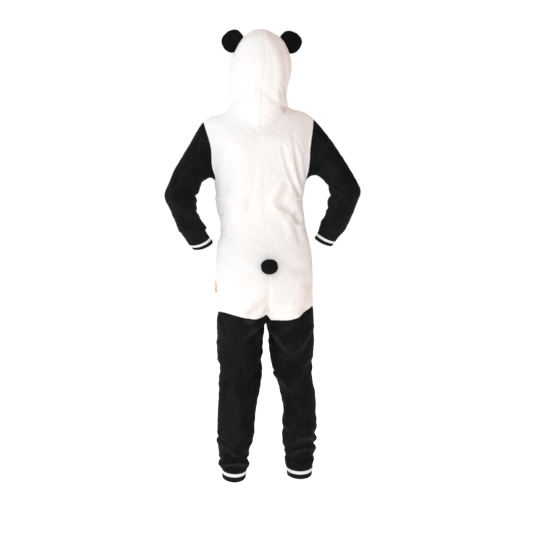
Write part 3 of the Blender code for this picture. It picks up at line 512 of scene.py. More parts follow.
frontFolds = [
    (-1, 72, -146, 92, -180, 118, -246, -2.5, -6.0, 10, 0.4),
    (-1, 92, -128, 104, -166, 120, -214, -2.0, -5.0, 8, 0.3),
    (-1, -74, -140, -92, -180, -118, -252, -3.0, -6.0, 10, -0.4),
    (-1, -96, -130, -106, -160, -120, -206, -2.0, -4.5, 8, -0.3),
    (-1, 30, -300, 74, -306, 122, -336, -2.5, -5.5, 11, 0.3),
    (-1, 44, -330, 80, -346, 126, -366, -1.5, -3.5, 10, 0),
    (-1, -40, -296, -80, -304, -128, -330, -3.0, -5.5, 11, 0.3),
    (-1, -48, -326, -84, -340, -130, -362, -1.5, -3.5, 10, 0),
    (-1, 14, -560, 46, -556, 84, -580, -2.5, -4.0, 10, 0),
    (-1, 8, -520, 46, -536, 96, -540, -1.5, -2.0, 12, 0),
    (-1, -46, -560, -76, -560, -112, -582, -2.5, -4.0, 10, 0),
    (-1, -40, -518, -80, -530, -120, -532, -1.5, -2.5, 12, 0),
    (-1, -16, -470, -18, -520, -20, -570, -1.0, -4.0, 9, 0),
    (-1, 40, -100, 60, -118, 92, -124, -1.5, -1.0, 10, 0),
    (-1, -44, -104, -66, -120, -96, -122, -1.5, -1.0, 10, 0),
]
sleeveFolds = [
    (0, 146, -192, 180, -184, 220, -192, -2.2, -1.0, 6, 0.3),
    (0, 150, -202, 182, -198, 214, -204, 1.4, 0.5, 6, 0),
    (0, 160, -214, 192, -214, 228, -226, -1.8, -1.2, 6, 0.3),
    (0, 172, -232, 204, -230, 238, -236, 1.6, -1.0, 7, 0),
    (0, 174, -247, 200, -246, 226, -252, -4.2, -1.2, 5, -0.3),
    (0, 182, -266, 210, -268, 240, -276, 1.2, -1.6, 7, 0.3),
    (0, 176, -292, 204, -290, 232, -290, -2.6, -1.4, 6, 0),
    (0, 170, -308, 196, -304, 226, -312, 1.0, -1.8, 7, 0.3),
    (0, 162, -334, 190, -332, 216, -328, -3.2, -1.4, 5, 0),
    (1, 168, -82, 165, -107, 171, -142, 1.5, 1.5, 6, 0),
    (1, 176, -100, 190, -130, 200, -160, -1.4, -1.2, 9, 0),
    (-1, 166, -96, 174, -130, 190, -164, -2.2, -1.4, 9, 0),
    (0, -160, -166, -180, -172, -210, -196, -2.0, -1.0, 8, 0),
    (0, -164, -194, -196, -200, -226, -206, -1.2, -1.4, 8, 0),
    (0, -190, -222, -219, -218, -250, -222, -1.4, -1.8, 7, 0.3),
    (0, -196, -230, -216, -242, -234, -268, 1.8, 1.4, 6, 0),
    (0, -196, -246, -216, -256, -232, -278, -4.0, -1.4, 5, 0.3),
    (0, -190, -262, -206, -270, -222, -286, 1.2, -1.2, 6, 0),
    (0, -188, -283, -214, -286, -242, -292, -2.6, -1.8, 6, -0.3),
    (0, -182, -304, -204, -302, -228, -312, -1.4, -1.4, 7, 0),
    (0, -176, -330, -198, -330, -222, -326, -3.0, -1.4, 5, 0.2),
    (1, -176, -94, -190, -128, -206, -160, -1.4, -1.0, 10, 0),
    (-1, -170, -96, -186, -130, -204, -160, -2.4, -1.4, 9, 0),
]
legFolds = [
    (1, 116, -592, 108, -616, 90, -650, 2.4, 2.0, 6, 0.2),
    (1, 104, -600, 96, -626, 78, -660, -2.0, -1.0, 8, 0),
    (1, 46, -654, 19, -634, -6, -610, -3.0, -2.0, 8, 0.2),
    (1, 50, -640, 24, -622, -2, -600, 1.5, 1.5, 8, 0),
    (0, 120, -718, 103, -739, 88, -764, -4.5, -1.0, 7, 0.3),
    (1, 112, -728, 98, -746, 84, -772, 2.4, 1.2, 6, 0),
    (0, -8, -710, 6, -741, 32, -759, -3.5, -1.0, 9, 0.2),
    (1, 106, -678, 69, -690, 34, -684, -1.6, -1.6, 12, 0),
    (1, 100, -806, 74, -824, 44, -818, -1.4, -1.0, 12, 0),
    (0, 120, -924, 87, -940, 48, -970, -3.5, -2.4, 7, 0.3),
    (0, 118, -936, 92, -952, 60, -976, 2.6, 1.4, 7, 0),
    (0, 22, -954, 34, -966, 60, -972, -3.5, -1.5, 7, 0),
    (0, 114, -990, 66, -980, 26, -990, -3.6, -3.4, 7, 0.3),
    (0, 112, -1002, 70, -996, 30, -1004, 2.0, 2.4, 7, 0),
    (-1, 110, -640, 70, -652, 20, -640, -3.0, -2.0, 11, 0),
    (-1, 108, -740, 66, -752, 16, -742, -3.6, -2.4, 9, 0.3),
    (-1, 104, -768, 66, -782, 20, -776, -2.6, -1.8, 9, 0),
    (-1, 108, -850, 74, -866, 30, -858, -2.0, -1.4, 12, 0),
    (1, -20, -600, -40, -632, -64, -668, 2.6, 2.0, 6, 0.2),
    (1, -24, -640, -42, -674, -66, -702, 2.4, 2.6, 6, 0.2),
    (1, -30, -640, -84, -712, -148, -632, -3.5, -5.0, 9, 0.4),
    (1, -44, -636, -88, -684, -138, -624, 1.6, 1.6, 8, 0),
    (0, -46, -752, -64, -773, -86, -796, 2.8, 2.0, 6, 0.2),
    (0, -42, -766, -58, -786, -80, -808, -3.4, -1.4, 8, 0),
    (1, -123, -758, -132, -738, -146, -716, -3.0, -3.5, 8, 0),
    (0, -60, -872, -73, -901, -92, -924, 2.8, 2.0, 6, 0.2),
    (0, -60, -890, -76, -916, -96, -938, -3.4, -1.6, 7, 0),
    (0, -164, -926, -130, -908, -96, -918, -4.0, -1.4, 8, 0),
    (0, -164, -944, -128, -934, -92, -944, 2.2, 1.5, 8, 0),
    (0, -166, -958, -122, -954, -90, -972, -4.4, -3.0, 6, 0.2),
    (0, -160, -970, -122, -968, -96, -976, 2.0, 1.8, 6, 0),
    (0, -66, -969, -84, -976, -108, -994, -3.2, -1.4, 7, 0),
    (0, -162, -992, -120, -998, -76, -992, -3.4, -3.0, 7, 0.2),
    (1, -53, -804, -87, -822, -130, -812, -1.6, -1.4, 11, 0),
    (-1, -40, -640, -84, -652, -140, -640, -3.0, -2.4, 11, 0),
    (-1, -52, -744, -92, -756, -142, -744, -3.6, -2.4, 9, 0.3),
    (-1, -60, -774, -96, -786, -146, -778, -2.4, -1.8, 9, 0),
    (-1, -70, -856, -110, -870, -156, -858, -2.0, -1.4, 12, 0),
]
folds = [Fold(*row) for row in backFolds + seatFolds + hoodFolds + frontFolds + sleeveFolds + legFolds]

drape = {
    "ridgeFull": 5,  # mm, the height at which the mark of a ridge is full
    "lip": 0.22,  # how much cloth a trough pushes up beside it
    "lipAt": 1.9,  # widths from the fold's middle to that lip
    "lipWide": 0.85,
    "bendSteps": 12,
    "reach": 2.8,  # widths from a fold beyond which it is not felt
    "turned": -0.3,  # how far cloth may face away and still hold a fold
    "fade": 1.6,  # how fast a fold fades where the cloth turns away
    "swellHigh": 0.7,  # mm, slow unevenness of the fleece
    "swellLong": 62,
    "rippleHigh": 0.32,
    "rippleLong": 21,
    "legSagHigh": 0.9,  # slack of the legs, in long shallow waves
    "legSagLong": 34,
    "legSagStretch": (0.45, 0.45, 1),
    "legFrom": -600,  # z below which the legs have that slack
    "legOver": 60,
}


def bend(fold, steps):
    # the fold's line as short straight runs: a quadratic bend that passes its middle point
    t = np.linspace(0, 1, steps + 1)[:, None]
    a, m, b = (np.array(fold[k:k + 2], float) for k in (1, 3, 5))
    c = 2 * m - (a + b) / 2
    return (1 - t) ** 2 * a + 2 * t * (1 - t) * c + t * t * b


def nearestOnBend(line, x, z):
    # distance to the line, which side of it, and how far along it
    best = np.full(len(x), 1e9)
    side, along = np.zeros(len(x)), np.zeros(len(x))
    steps = len(line) - 1
    for k in range(steps):
        ax, az = line[k]
        rx, rz = line[k + 1] - line[k]
        t = np.clip(((x - ax) * rx + (z - az) * rz) / (rx * rx + rz * rz), 0, 1)
        dx, dz = x - ax - t * rx, z - az - t * rz
        away = np.hypot(dx, dz)
        nearer = away < best
        best = np.where(nearer, away, best)
        side = np.where(nearer, np.sign(rx * dz - rz * dx), side)
        along = np.where(nearer, (k + t) / steps, along)
    return best, side, along


def foldHeights(places, normals):
    total = np.zeros(len(places))
    x, z = places[:, 0] / mm, places[:, 2] / mm
    for fold in folds:
        line = bend(fold, drape["bendSteps"])
        room = drape["reach"] * fold.width * (1 + abs(fold.lean))
        low, high = line.min(axis=0) - room, line.max(axis=0) + room
        near = np.nonzero((x > low[0]) & (x < high[0]) & (z > low[1]) & (z < high[1]))[0]
        if fold.side:
            near = near[normals[near, 1] * fold.side > drape["turned"]]
        away, flank, along = nearestOnBend(line, x[near], z[near])
        s = away / (fold.width * (1 + fold.lean * flank))
        shape = bell(s, 1) - drape["lip"] * bell(s - drape["lipAt"], drape["lipWide"])
        deep = fold.depth1 + (fold.depth2 - fold.depth1) * along
        seen = smoothStep(0.5 + drape["fade"] * normals[near, 1] * fold.side) if fold.side else 1.0
        total[near] += seen * deep * shape
    return total


def waves(places, long, seed, stretch=(1, 1, 1), count=14):
    # smooth unevenness from -1 to 1: plane waves in random directions
    dice = np.random.default_rng(seed)
    total = np.zeros(len(places))
    for _ in range(count):
        way = dice.normal(size=3)
        way *= np.array(stretch) / np.linalg.norm(way) * math.tau / (long * mm * dice.uniform(0.7, 1.5))
        total += np.sin(places @ way + dice.uniform(0, math.tau))
    return total / math.sqrt(count)


# Where the seat seam draws the leg seam up.
notch = {"x": -16, "z": -585, "wide": 6, "tall": 17, "high": 13}


def notchSeam(surface, skin):
    # slides points up the back of the seat, staying on the skin
    x, z = surface.places[:, 0] / mm - notch["x"], surface.places[:, 2] / mm - notch["z"]
    rise = notch["high"] * np.exp(-((x / notch["wide"]) ** 2) - (z / notch["tall"]) ** 2)
    for k in np.nonzero((rise > 0.05) & (surface.places[:, 1] > 0))[0]:
        place = Vector(surface.places[k])
        place.z += rise[k] * mm
        place.y = 1
        surface.places[k] = skin.ray_cast(place, Vector((0, -1, 0)))[0]
    surface.keepAsFlat()


# The legs hang lower over the heels than in front: the middle of each ankle, its half depth and the
# lift in front. The lift grows from the top of the ankles down.
Heel = namedtuple("Heel", "y deep lift")
heels = {1: Heel(20, 37, 9), -1: Heel(-19, 38, 9)}
heelTop, heelTall = -965, 50


def liftInsteps(surface):
    for side, heel in heels.items():
        x, y, z = (surface.places[:, k] / mm for k in range(3))
        behind = np.clip((y - heel.y + heel.deep) / (2 * heel.deep), 0, 1) ** 2
        lift = heel.lift * (1 - behind) * smoothStep((heelTop - z) / heelTall)
        surface.places[:, 2] += np.where(side * (x - crotchX) > 0, lift, 0) * mm
    surface.keepAsFlat()


def seamPoints(surface):
    # every point where two panels meet, or where a panel ends
    rims = [rimOf(surface.quadsOf(name), len(surface.places)).ravel() for name in panels]
    return np.unique(np.concatenate(rims))


def cuffSeamPoints(surface):
    found = []
    for name in ribPanels:
        cloth = "sleeve" if name.startswith("cuff") else "leg"
        rib = rimOf(surface.quadsOf(name), len(surface.places))
        other = surface.quadsOf(*(p for p in blackPanels if p.startswith(cloth)))
        found.append(np.intersect1d(rib, other))
    return np.concatenate(found)


def nearest(places, targets, limit):
    # index of the nearest target and its distance; those out of the limit keep -1
    tree = KDTree(len(targets))
    for k, place in enumerate(targets):
        tree.insert(place, k)
    tree.balance()
    index, away = np.full(len(places), -1), np.full(len(places), 1e3)
    low, high = targets.min(axis=0) - limit, targets.max(axis=0) + limit
    for k in np.nonzero(((places > low) & (places < high)).all(axis=1))[0]:
        _, found, far = tree.find(places[k])
        if far < limit:
            index[k], away[k] = found, far
    return index, away


sewing = {
    "hemStitch": 12,  # mm from the hood's edge to its topstitch
    "pinch": 0.6,  # mm, how far a seam pulls the cloth in
    "pinchWide": 4.5,
    "backSeam": 0.3,  # the middle of the back closes almost flat
    "pucker": 0.42,  # height of the small waves that run across a seam
    "puckerLong": 7.0,
    "puckerWide": 8.5,
    "seamReach": 30,
    "gather": 1.5,  # the same where sleeves and legs are gathered into their cuffs
    "gatherLong": 6.5,
    "gatherWide": 17,
    "gatherStretch": (1, 1, 0.2),
    "gatherPinned": 3.5,
    "gatherReach": 60,
    "markWide": 2.2,  # mm, the worn line that a seam leaves in the pile
    "markReach": 12,
}


def seamDepth(surface):
    # share of its full depth that a seam has at each point
    back = np.intersect1d(surface.quadsOf("back_left"), surface.quadsOf("back_right"))
    depth = np.ones(len(surface.places))
    depth[back[surface.flat[back, 1] > 0.05]] = sewing["backSeam"]
    return depth


def pressFolds(surface):
    places, normals = surface.flat, surface.normals
    height = foldHeights(places, normals)
    # the fold height, kept as a mark, also paints shade into the white troughs and a highlight onto the black
    # ridges
    surface.ridge = height / drape["ridgeFull"]
    height += drape["swellHigh"] * waves(places, drape["swellLong"], seeds["swell"])
    height += drape["rippleHigh"] * waves(places, drape["rippleLong"], seeds["ripple"])
    leg = smoothStep((drape["legFrom"] * mm - places[:, 2]) / (drape["legOver"] * mm))
    sag = waves(places, drape["legSagLong"], seeds["legSag"], stretch=drape["legSagStretch"])
    height += leg * drape["legSagHigh"] * sag
    seamsAt = seamPoints(surface)
    surface.depth = seamDepth(surface)
    seams = places[seamsAt]
    index, away = nearest(places, seams, sewing["seamReach"] * mm)
    away = away / mm
    height -= sewing["pinch"] * surface.depth[seamsAt[index]] * bell(away, sewing["pinchWide"])
    across = waves(seams[index], sewing["puckerLong"], seeds["pucker"])
    height += sewing["pucker"] * across * bell(away, sewing["puckerWide"])
    ends = places[cuffSeamPoints(surface)]
    index, away = nearest(places, ends, sewing["gatherReach"] * mm)
    away = away / mm
    across = waves(ends[index], sewing["gatherLong"], seeds["gather"], stretch=sewing["gatherStretch"])
    pinned = 1 - bell(away, sewing["gatherPinned"])
    height += sewing["gather"] * pinned * across * bell(away, sewing["gatherWide"])
    surface.places = surface.flat + normals * (height * mm)[:, None]
    surface.renewNormals()
    _, away = nearest(surface.flat, seams, sewing["markReach"] * mm)
    surface.seam = bell(away / mm, sewing["markWide"])


wall = {
    "fleece": 2.4,
    "gap": 0.04,  # mm left between two cut edges
    "roll": [(0.5, 0.03), (0.2, 0.16), (0.0, 0.5)],  # in, down: how an edge rolls into its seam
    "cornerShare": 0.35,  # keeps the shift at a sharp corner short
    "hem": 1.6,  # extra thickness of the turned hem round the face
    "hemWide": 16,
    "hemSlope": 2.5,
}


def edgeShifts(surface, rim, size):
    # for each rim point, the way into its panel, longer at corners
    run = surface.places[rim[:, 1]] - surface.places[rim[:, 0]]
    inward = unit(np.cross(surface.normals[rim[:, 0]] + surface.normals[rim[:, 1]], run))
    total, count = np.zeros((size, 3)), np.zeros(size)
    for end in (0, 1):
        np.add.at(total, rim[:, end], inward)
        np.add.at(count, rim[:, end], 1)
    mean = total / np.maximum(count, 1)[:, None]
    return mean / np.maximum((mean**2).sum(axis=1), wall["cornerShare"])[:, None]


def panelWall(name, fine, lining, extra=None):
    # points, faces and marks of one panel: outer face, rolled edge and inner face
    sizeF, sizeL = len(fine.places), len(lining.places)
    quads, inner = fine.quadsOf(name), lining.quadsOf(name)
    rim, innerRim = rimOf(quads, sizeF), rimOf(inner, sizeL)
    shift = edgeShifts(fine, rim, sizeF)
    onRim, used = np.unique(rim), np.unique(quads)
    row = np.full(sizeF, -1)
    row[used] = np.arange(len(used))
    points = [fine.places[used].copy()]
    depth = fine.depth[onRim][:, None]
    first = wall["roll"][0]
    move = shift[onRim] * (first[0] * depth + wall["gap"]) * mm - fine.normals[onRim] * first[1] * depth * mm
    points[0][row[onRim]] += move
    faces = row[quads].tolist()
    ringRow = np.full(sizeF, -1)
    ringRow[onRim] = np.arange(len(onRim))
    above = row[rim]
    count = len(used)
    for inBy, down in wall["roll"][1:]:
        place = fine.places[onRim] + shift[onRim] * (inBy * depth + wall["gap"]) * mm
        points.append(place - fine.normals[onRim] * down * np.maximum(depth, 0.5) * mm)
        below = ringRow[rim] + count
        faces += np.stack([above[:, 1], above[:, 0], below[:, 0], below[:, 1]], axis=1).tolist()
        above = below
        count += len(onRim)
    usedL = np.unique(inner)
    rowL = np.full(sizeL, -1)
    rowL[usedL] = np.arange(len(usedL)) + count
    thick = wall["fleece"] + (extra[usedL] if extra is not None else 0)
    innerShift = edgeShifts(lining, innerRim, sizeL)[usedL] * wall["gap"] * mm
    points.append(lining.places[usedL] + innerShift - lining.normals[usedL] * np.reshape(thick * mm, (-1, 1)))
    faces += rowL[inner][:, ::-1].tolist()
    follow = dict(rim.tolist())
    last = dict(zip(rim[:, 0].tolist(), above[:, 0].tolist()))
    index, _ = nearest(lining.flat[innerRim[:, 0]], fine.flat[onRim], 1 * mm)
    match = dict(zip(innerRim[:, 0].tolist(), onRim[index].tolist()))
    for a, b in innerRim.tolist():
        # the lining is half as fine, so each of its edges meets two outer ones
        start = match[a]
        middle = follow[start]
        end = follow[middle]
        faces.append([last[end], last[middle], last[start], int(rowL[a]), int(rowL[b])])
    rolled, lined = count - len(used), len(usedL)
    marks = {
        "seam": np.concatenate([fine.seam[used], np.ones(rolled), np.zeros(lined)]),
        "ridge": np.concatenate([fine.ridge[used], np.zeros(rolled + lined)]),
    }
    return np.concatenate(points), faces, marks


def shadeSmooth(mesh, sharp):
    mesh.shade_smooth()
    mesh.set_sharp_from_angle(angle=math.radians(sharp))


def pieceFrom(name, points, faces, material, marks=None, sharp=60):
    mesh = bpy.data.meshes.new(name)
    mesh.from_pydata([tuple(p) for p in points], [], faces)
    for key, values in (marks or {}).items():
        mesh.attributes.new(key, "FLOAT", "POINT").data.foreach_set("value", np.array(values, np.float32))
    shadeSmooth(mesh, sharp)
    mesh.materials.append(material)
    mesh.validate()
    return linked(name, mesh)


def newMaterial(name, colour, rough, metal=0.0, sheen=0.0, sheenRough=0.5, sheenTint=(1, 1, 1), specular=0.5):
    made = bpy.data.materials.new(name)
    made.use_nodes = True
    made.diffuse_color = (*colour, 1)
    shader = made.node_tree.nodes["Principled BSDF"]
    values = {
        "Base Color": (*colour, 1), "Roughness": rough, "Metallic": metal, "Sheen Weight": sheen,
        "Sheen Roughness": sheenRough, "Sheen Tint": (*sheenTint, 1), "Specular IOR Level": specular,
    }
    for key, value in values.items():
        shader.inputs[key].default_value = value
    return made, shader


def addNode(owner, kind, inputs=None, **settings):
    # owner is a material, a world or a node tree; an input takes a value or another node's output
    tree = getattr(owner, "node_tree", owner)
    node = tree.nodes.new(kind)
    for key, value in settings.items():
        setattr(node, key, value)
    for key, value in (inputs or {}).items():
        if isinstance(value, bpy.types.NodeSocket):
            tree.links.new(value, node.inputs[key])
        else:
            node.inputs[key].default_value = value
    return node


def maths(owner, operation, *values):
    return addNode(owner, "ShaderNodeMath", dict(enumerate(values)), operation=operation).outputs["Value"]


def noiseOf(material, scale, detail=2.0, rough=0.5, stretch=(1, 1, 1), distortion=0.0):
    # noise on the piece's own place, in features about 1/scale metres wide
    where = addNode(material, "ShaderNodeTexCoord").outputs["Object"]
    mapping = addNode(material, "ShaderNodeMapping", {"Vector": where, "Scale": stretch})
    values = {"Vector": mapping.outputs["Vector"], "Scale": scale, "Detail": detail,
              "Roughness": rough, "Distortion": distortion}
    return addNode(material, "ShaderNodeTexNoise", values).outputs["Fac"]


def mixColours(owner, factor, a, b):
    node = addNode(owner, "ShaderNodeMix", data_type="RGBA")
    sockets = {s.identifier: s for s in node.inputs}
    links = node.id_data.links
    for key, value in (("A_Color", a), ("B_Color", b)):
        if isinstance(value, bpy.types.NodeSocket):
            links.new(value, sockets[key])
        else:
            sockets[key].default_value = (*value, 1)
    links.new(factor, sockets["Factor_Float"])
    return next(s for s in node.outputs if s.identifier == "Result_Color")


def rangeOf(owner, value, low, high, toLow=0.0, toHigh=1.0, kind="LINEAR"):
    values = {"Value": value, "From Min": low, "From Max": high, "To Min": toLow, "To Max": toHigh}
    return addNode(owner, "ShaderNodeMapRange", values, interpolation_type=kind).outputs["Result"]


def markOf(material, name):
    return addNode(material, "ShaderNodeAttribute", attribute_name=name).outputs["Fac"]


def finishLook(material, shader, shade, layers=()):
    # the base colour, and bumps as height socket, strength and distance in metres
    links = material.node_tree.links
    links.new(shade, shader.inputs["Base Color"])
    last = None
    for height, strength, distance in layers:
        inputs = {"Height": height, "Strength": strength, "Distance": distance}
        if last:
            inputs["Normal"] = last
        last = addNode(material, "ShaderNodeBump", inputs).outputs["Normal"]
    if last:
        links.new(last, shader.inputs["Normal"])
    return material


# In each look a range gives the values of the noise or mark at its ends, then what they are turned into,
# and a bump gives its strength and its height in metres.
fleeceLook = {
    "pile": 620,  # tufts of about 1.6 mm
    "clump": 150,
    "cloud": 14,
}
whiteLook = {
    "colour": (0.935, 0.925, 0.912),
    "deep": (0.885, 0.850, 0.820),  # where the pile parts
    "seam": (0.84, 0.775, 0.745),
    # painted shade: the troughs of the folds darker and warmer, where shade falls in them
    "trough": (0.78, 0.69, 0.63),
    "sheen": (1.0, 0.90, 0.82),
    "clumpRange": (0.42, 0.66, 0, 0.4),
    "cloudRange": (0.4, 0.7, 0, 0.25),
    "paintedTroughShadeRange": (-0.3, -1.3, 0, 0.6),
    "seamRange": (0.15, 1, 0, 0.12),
    "pileBump": (0.35, 0.0009),
    "clumpBump": (0.4, 0.0016),
}
blackLook = {
    "colour": (0.0054, 0.0056, 0.0056),
    "lit": (0.0125, 0.0127, 0.0127),
    "ridge": (0.021, 0.0216, 0.022),  # painted highlight along the ridges of the folds
    "sheen": (0.92, 0.95, 1.0),
    "cloudRange": (0.42, 0.66, 0, 0.8),
    "clumpRange": (0.45, 0.75, 0, 0.5),
    "ridgeHighlightRange": (0.2, 0.55),
    "ridgeHighlightByClump": (0.25, 0.6, 0.35, 1),
    "pileBump": (0.4, 0.0007),
    "clumpBump": (0.35, 0.0012),
    "earDepth": 0.6,  # all colours of the ears are darker
}


def whiteFleece():
    made, shader = newMaterial("whiteFleece", whiteLook["colour"], 0.95, sheen=0.2, sheenRough=0.5,
                               sheenTint=whiteLook["sheen"], specular=0.1)
    pile = noiseOf(made, fleeceLook["pile"], 3, 0.6)
    clump = noiseOf(made, fleeceLook["clump"], 2, 0.55, stretch=(1, 1, 0.55))
    cloud = noiseOf(made, fleeceLook["cloud"], 2, 0.5)
    shade = whiteLook["colour"]
    # random tones from clumps and clouds, painted shade in the fold troughs from the ridge mark, and the seam
    # tint
    for value, span, tone in ((clump, "clumpRange", "deep"), (cloud, "cloudRange", "deep"),
                              (markOf(made, "ridge"), "paintedTroughShadeRange", "trough"),
                              (markOf(made, "seam"), "seamRange", "seam")):
        shade = mixColours(made, rangeOf(made, value, *whiteLook[span]), shade, whiteLook[tone])
    return finishLook(made, shader, shade, [(pile, *whiteLook["pileBump"]), (clump, *whiteLook["clumpBump"])])


def blackFleece(name, depth=1.0):
    # depth under 1 makes all its colours darker
    base, lit, ridge = (tuple(c * depth for c in blackLook[k]) for k in ("colour", "lit", "ridge"))
    made, shader = newMaterial(name, base, 0.8, sheen=0.03, sheenRough=0.38,
                               sheenTint=blackLook["sheen"], specular=0.05)
    pile = noiseOf(made, fleeceLook["pile"] * 1.25, 3, 0.6, stretch=(1, 1, 0.6))
    clump = noiseOf(made, fleeceLook["clump"], 2, 0.55, stretch=(1, 1, 0.45))
    cloud = noiseOf(made, fleeceLook["cloud"] * 1.7, 3, 0.55, stretch=(1, 1, 0.6), distortion=0.6)
    shade = mixColours(made, rangeOf(made, cloud, *blackLook["cloudRange"]), base, lit)
    shade = mixColours(made, rangeOf(made, clump, *blackLook["clumpRange"]), shade, lit)
    # painted highlight: the ridges of the folds lighter, broken up by the clumps
    ridgeHighlight = rangeOf(made, markOf(made, "ridge"), *blackLook["ridgeHighlightRange"])
    ridgeHighlight = maths(made, "MULTIPLY", ridgeHighlight, rangeOf(made, clump, *blackLook["ridgeHighlightByClump"]))
    shade = mixColours(made, ridgeHighlight, shade, ridge)
    return finishLook(made, shader, shade, [(pile, *blackLook["pileBump"]), (clump, *blackLook["clumpBump"])])


stripes = {"cuff": (9.2, 16.2), "ankle": (13.5, 22.8)}  # mm from the hem
ribLook = {
    "black": (0.006, 0.006, 0.0062),
    "grey": (0.0145, 0.0145, 0.0145),
    "white": (0.90, 0.895, 0.88),
    "paintedValleyShade": (0.50, 0.485, 0.46),  # painted shade on the stripe, in the valleys between two ribs
    "stripeBlur": 0.3,  # mm, half the width of the stripe's edge
    "yarn": 900,
    "yarnRange": (0.35, 0.7),
    "valleyShadeRange": (0.0, 0.7, 0.55, 1.0),
    "yarnBump": (0.5, 0.0006),
}


def ribKnit(kind):
    # along is the distance from the hem in mm, rib the height of the ribs
    made, shader = newMaterial("ribKnit_" + kind, ribLook["black"], 0.85, sheen=0.03, sheenRough=0.4,
                               specular=0.08)
    yarn = noiseOf(made, ribLook["yarn"], 2, 0.6)
    base = mixColours(made, rangeOf(made, yarn, *ribLook["yarnRange"]), ribLook["black"], ribLook["grey"])
    along, blur = markOf(made, "along"), ribLook["stripeBlur"]
    rising, falling = (rangeOf(made, along, edge - blur, edge + blur) for edge in stripes[kind])
    stripe = maths(made, "SUBTRACT", rising, falling)
    # painted shade: the white stripe darker in the valleys between the ribs
    valley = rangeOf(made, markOf(made, "rib"), *ribLook["valleyShadeRange"])
    pale = mixColours(made, valley, ribLook["paintedValleyShade"], ribLook["white"])
    return finishLook(made, shader, mixColours(made, stripe, base, pale), [(yarn, *ribLook["yarnBump"])])


# Plain finishes in two tones, mixed by a grain of its own size, detail, roughness and stretch.
finishes = {
    "tape": {
        "name": "zipTapeWeave", "colour": (0.86, 0.855, 0.84), "rough": 0.8, "sheen": 0.1, "specular": 0.2,
        "grain": (1400, 1, 0.5, (1, 1, 0.35)), "span": (0.35, 0.65), "bump": (0.5, 0.0004),
        "tones": ((0.74, 0.73, 0.71), (0.88, 0.875, 0.86)),
    },
    "metal": {
        "name": "zipMetal", "colour": (0.66, 0.66, 0.67), "rough": 0.3, "metal": 1.0,
        "grain": (900, 3, 0.6, (1, 1, 0.08)), "span": (0.4, 0.7), "bump": (0.25, 0.0002),
        "tones": ((0.68, 0.68, 0.69), (0.52, 0.52, 0.53)),
        "patches": (180, 2, 0.5), "worn": (0.3, 0.7, 0.22, 0.42),  # how rough it is by turns
    },
    "teeth": {
        "name": "zipTeeth", "colour": (0.84, 0.83, 0.81), "rough": 0.4, "specular": 0.4,
        "grain": (120, 2, 0.5), "span": (0.35, 0.7), "tones": ((0.86, 0.85, 0.83), (0.74, 0.73, 0.71)),
    },
    "label": {
        "name": "labelRibbon", "colour": (0.78, 0.29, 0.035), "rough": 0.6, "sheen": 0.1, "specular": 0.3,
        "grain": (1500, 1, 0.5, (0.3, 0.3, 1)), "span": (0.35, 0.65), "bump": (0.4, 0.0003),
        "tones": ((0.68, 0.23, 0.025), (0.84, 0.34, 0.05)),
    },
    "whiteThread": {
        "name": "whiteThread", "colour": (0.82, 0.80, 0.77), "rough": 0.55, "specular": 0.35,
        "grain": (2600, 1, 0.5), "span": (0.3, 0.7), "tones": ((0.656, 0.64, 0.616), (0.82, 0.80, 0.77)),
    },
}


def grained(grain, span, tones, bump=None, patches=None, worn=None, **finish):
    made, shader = newMaterial(**finish)
    height = noiseOf(made, *grain)
    shade = mixColours(made, rangeOf(made, height, *span), *tones)
    if patches:
        rough = rangeOf(made, noiseOf(made, *patches), *worn)
        made.node_tree.links.new(rough, shader.inputs["Roughness"])
    return finishLook(made, shader, shade, [(height, *bump)] if bump else ())


def makeLooks():
    looks = {key: grained(**finish) for key, finish in finishes.items()}
    looks["white"] = whiteFleece()
    looks["black"] = blackFleece("blackFleece")
    looks["ear"] = blackFleece("earFleece", blackLook["earDepth"])
    for kind in stripes:
        looks[kind] = ribKnit(kind)
    return looks


def faceEdge(surface):
    # points of the hood's free edge, round the face
    free = rimOf(surface.quads, len(surface.places))
    return np.intersect1d(free, surface.quadsOf("hood_left", "hood_right"))


def hemDepth(lining):
    # the hem round the face is turned in, so the cloth is thicker there
    _, away = nearest(lining.flat, lining.flat[faceEdge(lining)], wall["hemWide"] * mm * 1.3)
    return wall["hem"] * smoothStep((wall["hemWide"] - away / mm) / wall["hemSlope"])


def makePanels(fine, lining, white, black):
    made = {}
    faceHem = hemDepth(lining)
    for name in whitePanels + blackPanels:
        extra = faceHem if name.startswith("hood") else None
        points, faces, marks = panelWall(name, fine, lining, extra)
        look = white if name in whitePanels else black
        made[name] = pieceFrom(name + "_cloth", points, faces, look, marks)
    return made


ribWork = {
    "columnsPerRib": 6,
    "rise": 0.6,  # mm from a valley to the top of a rib
    "fullness": 0.7,  # under 1 makes the ribs broader than the valleys
    "riseFromSeam": 2.5,  # mm over which the ribs come up
    "riseFromHem": 2,
    "riseAtHem": 0.35,
    "thick": 2.0,
    "sunk": 0.4,  # mm that the knit lies under the fleece's face
    "slack": 0.5,  # slow unevenness round the cuff
    "slackLong": 38,
    "tuckLong": 4,  # how far the tuck under the fleece reaches down
    "roundSteps": 5,
    "sagBehind": 2,  # powers: how the hem's droop grows to the back, and down the cuff
    "sagDown": 1.5,
}
Rib = namedtuple("Rib", "ribs rows tucked")
ribKinds = {"cuff": Rib(58, 28, 0.5), "ankle": Rib(72, 18, 0.9)}
# How far the hem hangs lower behind, in mm.
droop = {"cuff_left": 12, "cuff_right": 8, "ankle_cuff_left": 1, "ankle_cuff_right": 1}


